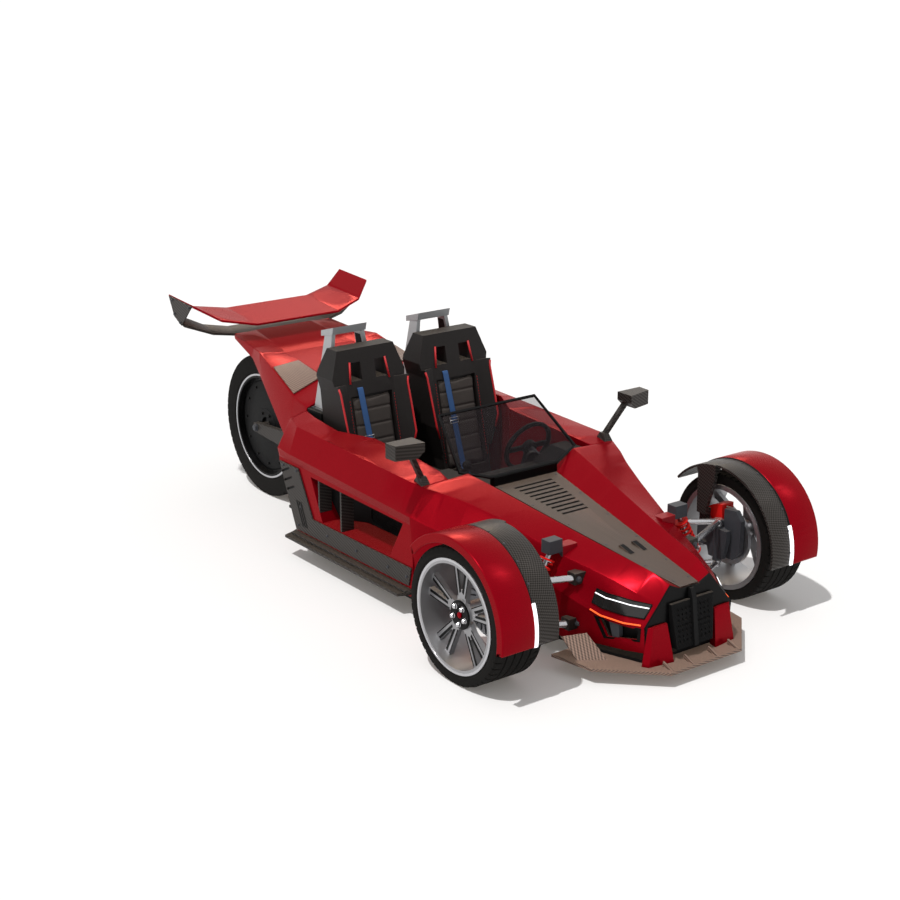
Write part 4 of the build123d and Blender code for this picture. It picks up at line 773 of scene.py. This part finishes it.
wires = []
for i in range(14):
    z = MESH_LOW + 0.008 + (MESH_HIGH - MESH_LOW - 0.016) * i / 13
    wires.append(tube([(MESH_REAR, MESH_Y, z), (mesh_front(z), MESH_Y, z)], 0.0017, 4))
for i in range(36):
    x = MESH_REAR + 0.014 * (i + 1)
    foot = MESH_LOW if x < mesh_front(MESH_LOW) else MESH_LOW + (x - mesh_front(MESH_LOW)) / MESH_LEAN
    wires.append(tube([(x, MESH_Y + 0.002, min(foot, MESH_HIGH - 0.005)), (x, MESH_Y + 0.002, MESH_HIGH)], 0.0017, 4))
piece("radiator_mesh", half_and_mirror(wires), "black_matte")
backing = [(MESH_REAR, MESH_Y - 0.0045, MESH_LOW), (mesh_front(MESH_LOW), MESH_Y - 0.0045, MESH_LOW),
           (mesh_front(MESH_HIGH), MESH_Y - 0.0045, MESH_HIGH), (MESH_REAR, MESH_Y - 0.0045, MESH_HIGH)]
piece("radiator_core", half_and_mirror([prism(backing, (0, 0.002, 0))]), "black_matte")
border = [(MESH_REAR, MESH_Y, MESH_LOW + MESH_CUT), (MESH_REAR + MESH_CUT, MESH_Y, MESH_LOW),
          (mesh_front(MESH_LOW), MESH_Y, MESH_LOW), (mesh_front(MESH_HIGH), MESH_Y, MESH_HIGH),
          (MESH_REAR + MESH_CUT, MESH_Y, MESH_HIGH), (MESH_REAR, MESH_Y, MESH_HIGH - MESH_CUT)]
piece("radiator_border", half_and_mirror([tube(border, 0.006, 8, loop=True)]), "black_gloss")

# Seats: padded cushions, piping, stitches and one belt each
back_along = (BACK_TOP - BACK_FOOT).normalized()
back_out = Vector((back_along.z, 0, -back_along.x))
cushion_along = (CUSHION_FRONT - BACK_FOOT).normalized()
cushion_out = Vector((-cushion_along.z, 0, cushion_along.x))


def on_back(side, across, height, out):
    """A point of a seat's back: across from its middle, at a height above the ground, out from its face."""
    share = (height - BACK_FOOT.z) / (BACK_TOP.z - BACK_FOOT.z)
    place = BACK_FOOT.lerp(BACK_TOP, share) + back_out * out
    return place + Vector((0, side * SEAT_Y + across, 0))


CLOTH_FRAMES = 20


def cushion(name, half, near, far, channels, cap):
    """A foam pad, blown up by a cloth simulation inside its recess, then sewn down along its channels. Its points are
    across the pad, along it and out of it."""
    low, high = -0.031, -0.012
    margin, rounding, corner_points = 0.004, 0.02, 7
    reach = (far - near) / 2 - margin - rounding
    outline = []
    for sign_a, sign_b, start in ((1, 1, 0), (-1, 1, 90), (-1, -1, 180), (1, -1, 270)):
        corner = Vector((sign_a * (half - margin - rounding), (near + far) / 2 + sign_b * reach, low))
        for i in range(corner_points):
            turn = radians(start + 90 * i / (corner_points - 1))
            outline.append(corner + Vector((cos(turn), sin(turn), 0)) * rounding)
    mesh = bpy.data.meshes.new(name)
    points, faces = prism(outline, (0, 0, high - low))
    mesh.from_pydata(points, [], faces)
    tidy_normals(mesh)
    obj = bpy.data.objects.new(name, mesh)
    scene.collection.objects.link(obj)
    swell(obj, cap)
    points = [v.co.copy() for v in obj.data.vertices]
    middle = (low + high) / 2
    for p in points:
        p.x = max(-half + 0.001, min(half - 0.001, p.x))
        p.y = max(near + 0.001, min(far - 0.001, p.y))
        p.z = max(low - 0.0003, p.z)
        if p.z > middle:
            p.z -= 0.006 * sum(exp(-(((p.y - line) / 0.005) ** 2)) for line in channels)
    faces = [list(face.vertices) for face in obj.data.polygons]
    bpy.data.objects.remove(obj)
    return points, faces


def swell(obj, cap):
    """Runs the cloth simulation on the pad, and limits how far each point moves."""
    remesh = obj.modifiers.new("remesh", "REMESH")
    remesh.mode = "VOXEL"
    remesh.voxel_size = 0.005
    apply_modifiers(obj)
    start = [v.co.copy() for v in obj.data.vertices]
    cloth = obj.modifiers.new("cloth", "CLOTH")
    cloth.settings.use_pressure = True
    cloth.settings.uniform_pressure_force = 4
    cloth.settings.effector_weights.gravity = 0
    cloth.point_cache.frame_end = CLOTH_FRAMES
    for number in range(1, CLOTH_FRAMES + 1):
        scene.frame_set(number)
    apply_modifiers(obj)
    scene.frame_set(1)
    for v, was in zip(obj.data.vertices, start):
        shift = v.co - was
        if shift.length > cap:
            v.co = was + shift.normalized() * cap


def apply_modifiers(obj):
    graph = bpy.context.evaluated_depsgraph_get()
    mesh = bpy.data.meshes.new_from_object(obj.evaluated_get(graph))
    obj.modifiers.clear()
    obj.data = mesh


back_pad = cushion("back_pad", 0.131, 0.070, 0.571, (0.155, 0.240, 0.325, 0.410, 0.495), 0.011)
base_pad = cushion("base_pad", 0.118, 0.075, 0.415, (0.160, 0.245, 0.330), 0.012)
pads = []
for side in SIDES.values():
    for shape, along, out in ((back_pad, back_along, back_out), (base_pad, cushion_along, cushion_out)):
        place = BACK_FOOT + Vector((0, side * SEAT_Y, 0))
        axes = Matrix((Vector((0, 1, 0)), along, out)).transposed().to_4x4()
        pads.append(moved(shape, Matrix.Translation(place) @ axes))
seat_cushions = piece("seat_cushions", joined(pads), "seat_pad", smooth=True)
fine = seat_cushions.modifiers.new("fine", "SUBSURF")
fine.levels = 1
fine.render_levels = 1
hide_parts("seat_pads")

# Front outline of the seat and how far the bolsters stand out: height, half width, out
BOLSTER = [(0.930, 0.222, 0.034), (0.900, 0.215, 0.0354), (0.770, 0.2135, 0.046), (0.640, 0.212, 0.056),
           (0.570, 0.192, 0.043)]
PIPING_RADIUS = 0.0055
# The belt's line down the seat's back (height, across, out) and the corners of its section
BELT_PATH = [(0.920, -0.070, -0.008), (0.914, -0.070, 0.002), (0.900, -0.069, 0.004), (0.850, -0.066, 0.004),
             (0.760, -0.060, 0.004), (0.660, -0.053, 0.004), (0.560, -0.046, 0.004), (0.460, -0.040, 0.005),
             (0.390, -0.036, 0.010), (0.350, -0.030, 0.030)]
BELT_WIDTH, BELT_THICK = 0.034, 0.0022
BELT_SECTION = ((-0.5, 0), (0.5, 0), (0.5, BELT_THICK), (-0.5, BELT_THICK))
BUCKLE = ((-0.027, 0.632), (0.027, 0.632), (0.027, 0.662), (-0.027, 0.662))
piping, hardware, stitches = [], [], []
for name, side in SIDES.items():
    for way in (1, -1):
        piping.append(tube([on_back(side, way * half, z, out + 0.001) for z, half, out in BOLSTER], PIPING_RADIUS, 8))
        slot_edge = [on_back(side, way * half, z, 0.0015) for z, half in ((1.052, 0.112), (0.940, 0.125))]
        piping.append(tube(slot_edge, PIPING_RADIUS, 8))
        for i in range(28):
            z = 0.43 + 0.0155 * i
            start = on_back(side, way * 0.142, z, 0.0008)
            stitches.append(tube([start, start + back_along * 0.008], 0.0011, 5))
    rows = [[on_back(side, across + edge * BELT_WIDTH, z, out + thick) for edge, thick in BELT_SECTION]
            for z, across, out in BELT_PATH]
    belt = piece(f"seat_belt_{name}", four_sided(rows), "seat_pad", look=belt_blue)
    buckle = [on_back(side, -0.053 + across, z, 0.0035) for across, z in BUCKLE]
    hardware.append(tube(buckle, 0.0035, 8, loop=True))
    hardware.append(tube([on_back(side, -0.080, 0.647, 0.0065), on_back(side, -0.026, 0.647, 0.0065)], 0.003, 8))
piece("seat_piping", joined(piping), "spring_red", look=piping_red, smooth=True)
piece("belt_buckles", joined(hardware), "steel", smooth=True)
piece("seat_stitches", joined(stitches), "seat_pad", look=piping_red)

# Dashboard: two dials behind the wheel, a blank screen, vents and switches
DASH_X = 0.430
DIAL = [(0, 0.044), (0.022, 0.044), (0.026, 0.040), (0.026, 0.036), (0.006, 0.034)]
VENT = [(0, 0.032), (0.008, 0.032), (0.011, 0.028), (0.004, 0.024)]
to_driver = Vector((-1, 0, 0))
dials, needles = [], []
for y in (0.215, 0.341):
    centre = Vector((DASH_X, y, 0.600))
    dials.append(lathe(DIAL, centre, to_driver, 40))
    dial_face = centre + to_driver * 0.0065
    for i in range(11):
        turn = radians(-30 + 24 * i)
        spoke = Vector((0, cos(turn), sin(turn)))
        needles.append(tube([dial_face + spoke * 0.026, dial_face + spoke * 0.031], 0.0009, 5))
    needles.append(tube([centre + to_driver * 0.009, centre + Vector((-0.009, -0.015, 0.02))], 0.0012, 5))
piece("dials", joined(dials), "black_gloss")
piece("dial_marks", joined(needles), "lamp", look=white_lamp)
panel = [block((DASH_X - 0.006, 0, 0.545), (0.012, 0.17, 0.09))]
for y in (-0.36, -0.24):
    panel.append(lathe(VENT, (DASH_X, y, 0.610), to_driver, 28))
for i in range(5):
    panel.append(block((DASH_X - 0.007, -0.06 + 0.03 * i, 0.488), (0.014, 0.016, 0.01)))
piece("dash_panel", joined(panel), "black_gloss", bevel=0.001)

# Steering wheel: grips, centre pad and buttons
WHEEL_CENTRE = Vector((0.310, 0.278, 0.635))
WHEEL_TILT = radians(20)
GRIP_RADIUS, GRIP_THICK = 0.138, 0.0136
wheel_out = Vector((-cos(WHEEL_TILT), 0, sin(WHEEL_TILT)))
wheel_right = Vector((0, -1, 0))
wheel_up = wheel_out.cross(wheel_right)
grips, wheel_trim = [], []
for start in (-35, 145):
    turns = [radians(start + 70 * i / 16) for i in range(17)]
    grip = [WHEEL_CENTRE + (wheel_right * cos(t) + wheel_up * sin(t)) * GRIP_RADIUS for t in turns]
    grips.append(tube(grip, GRIP_THICK, 12))
pad = [(0.0003, 0.036), (0.006, 0.036), (0.012, 0.028), (0.013, 0.010)]
wheel_trim.append(lathe(pad, WHEEL_CENTRE, wheel_out, 32))
for across in (-0.07, 0.07):
    for up in (-0.006, 0.006):
        place = WHEEL_CENTRE + wheel_right * across + wheel_up * up
        wheel_trim.append(lathe([(0.0, 0.0045), (0.003, 0.0045), (0.004, 0.003)], place, wheel_out, 12))
piece("wheel_grips", joined(grips), "seat_shell", "steering_wheel", smooth=True)
piece("wheel_pad", joined(wheel_trim), "black_gloss", "steering_wheel")

# Mirror glass in the back of each housing
MIRROR_X = 0.5752
mirror_face = [(MIRROR_X, y, z) for y, z in
               ((0.700, 0.857), (0.806, 0.857), (0.808, 0.919), (0.670, 0.919), (0.670, 0.886))]
piece("mirror_glass", half_and_mirror([prism(mirror_face, (-0.0015, 0, 0))]), "silver", look=chrome, bevel=0.0006)

# Tail lamps across the back of the tail, and ribs on the engine
TAIL_X = -1.650
lamp_bar = [(TAIL_X, y, z) for y, z in ((0.10, 0.9405), (0.325, 0.9405), (0.325, 0.928), (0.10, 0.928))]
piece("tail_lamps", half_and_mirror([prism(lamp_bar, (-0.006, 0, 0))]), "lamp", look=red_lamp, bevel=0.001)
ribs = []
for i in range(9):
    ribs.append(block((-0.80, 0, 0.16 + 0.058 * i), (0.30, 0.512, 0.014)))
piece("engine_ribs", joined(ribs), "engine_metal", bevel=0.002)

# Hoop feet, dark panels inside the hoop legs, and bolts where plates are fixed
HOOP_HALF, FOOT_Z, FOOT_THICK = 0.158, 0.7603, 0.005
feet, bolts = [], []
for y in (SEAT_Y - HOOP_HALF, SEAT_Y + HOOP_HALF):
    plate = [(x, y + off, FOOT_Z) for x, off in ((-0.617, -0.034), (-0.488, -0.034), (-0.488, 0.034), (-0.617, 0.034))]
    feet.append(prism(plate, (0, 0, FOOT_THICK)))
    for x in (-0.598, -0.507):
        for way in (-0.024, 0.024):
            bolts.append(bolt((x, y + way, 0.7653), (0, 0, 1), 0.011))
piece("hoop_feet", half_and_mirror(feet), "dark_metal", bevel=0.001)
leg_panels = []
for way in (1, -1):
    corners = []
    for z, rear_x, front_x in ((0.785, -0.609, -0.500), (1.140, -0.594, -0.545)):
        off_middle = HOOP_HALF - 0.066 * (z - 0.760) / 0.408 - 0.0122
        corners.append([Vector((x, SEAT_Y + way * off_middle, z)) for x in (rear_x, front_x)])
    leg_panels.append(prism([corners[0][0], corners[0][1], corners[1][1], corners[1][0]], (0, -way * 0.0015, 0)))
piece("leg_panels", half_and_mirror(leg_panels), "black_matte")
WING_BOLTS = ((-1.69, 1.128), (-1.89, 1.138), (-1.80, 1.020), (-1.865, 1.060))
TRIM_BOLTS = ((-0.57, 0.49), (-0.44, 0.49), (-0.40, 0.30), (-0.43, 0.19), (-0.15, 0.21), (0.12, 0.21), (0.40, 0.21),
              (0.56, 0.21))
for x, z in WING_BOLTS:
    bolts.append(bolt((x, 0.608, z), (0, 1, 0), 0.012))
for x, z in TRIM_BOLTS:
    bolts.append(bolt((x, 0.688, z), (0, 1, 0), 0.011))
for x in (1.183, 1.443):
    for z in (0.413, 0.195):
        y = 0.48 if x < 1.3 else 0.37
        bolts.append(bolt((x + 0.028, y, z), (1, 0, 0), 0.02))
        bolts.append(bolt((x - 0.028, y, z), (-1, 0, 0), 0.02))
piece("bolts", half_and_mirror(bolts), "dark_metal")

# Camera, solved from the photograph
CAMERA_PLACE = (7.0716, -5.3287, 3.428)
CAMERA_LOOK = Vector((-0.7604, 0.5730, -0.3056))
LENS_MM, SENSOR_MM = 70.04, 36
camera = bpy.data.objects.new("camera", bpy.data.cameras.new("camera"))
scene.collection.objects.link(camera)
camera.location = CAMERA_PLACE
camera.rotation_euler = CAMERA_LOOK.to_track_quat("-Z", "Y").to_euler()
camera.data.sensor_fit = "HORIZONTAL"
camera.data.sensor_width = SENSOR_MM
camera.data.lens = LENS_MM
scene.camera = camera

# Floor, light and white background
FLOOR_SIZE = 60
floor_mesh = bpy.data.meshes.new("floor")
corners = [(a * FLOOR_SIZE, b * FLOOR_SIZE, 0) for a, b in ((-1, -1), (1, -1), (1, 1), (-1, 1))]
floor_mesh.from_pydata(corners, [], [(0, 1, 2, 3)])
floor = bpy.data.objects.new("floor", floor_mesh)
scene.collection.objects.link(floor)
floor_mesh.materials.append(grained("floor", (0.86, 0.875, 0.89), 0.85, 3.0, 0.0001, vary=0.0, specular=0.0))

SKY_LIGHT = 0.44
world = bpy.data.worlds.new("world")
scene.world = world
world.use_nodes = True
sky = world.node_tree.nodes["Background"]
sky.inputs["Color"].default_value = (1, 1, 1, 1)
ray = world.node_tree.nodes.new("ShaderNodeLightPath").outputs
seen = math(world.node_tree, "MAXIMUM", ray["Is Camera Ray"],
            math(world.node_tree, "MAXIMUM", ray["Is Glossy Ray"], ray["Is Transmission Ray"]))
world.node_tree.links.new(spread(world.node_tree, seen, SKY_LIGHT, 1.0), sky.inputs["Strength"])


def far_lamp(name, place, energy, spread_degrees, colour=(1, 1, 1), shadow=True):
    """A lamp far away in the direction of a place."""
    lamp = bpy.data.objects.new(name, bpy.data.lights.new(name, "SUN"))
    scene.collection.objects.link(lamp)
    lamp.rotation_euler = (-Vector(place)).to_track_quat("-Z", "Y").to_euler()
    lamp.data.energy = energy
    lamp.data.color = colour
    lamp.data.angle = radians(spread_degrees)
    lamp.data.use_shadow = shadow


far_lamp("key", (0.06, -0.41, 1.0), 2.3, 1.5, (1.0, 0.97, 0.94))
far_lamp("rim", (-0.66, 0.48, 0.575), 0.36, 9, (1.0, 0.8, 0.6), shadow=False)
far_lamp("fill", (0.36, 0.58, 0.73), 0.22, 12, shadow=False)
far_lamp("side", (0.02, -0.93, 0.37), 0.12, 12, (1.0, 0.9, 0.85), shadow=False)
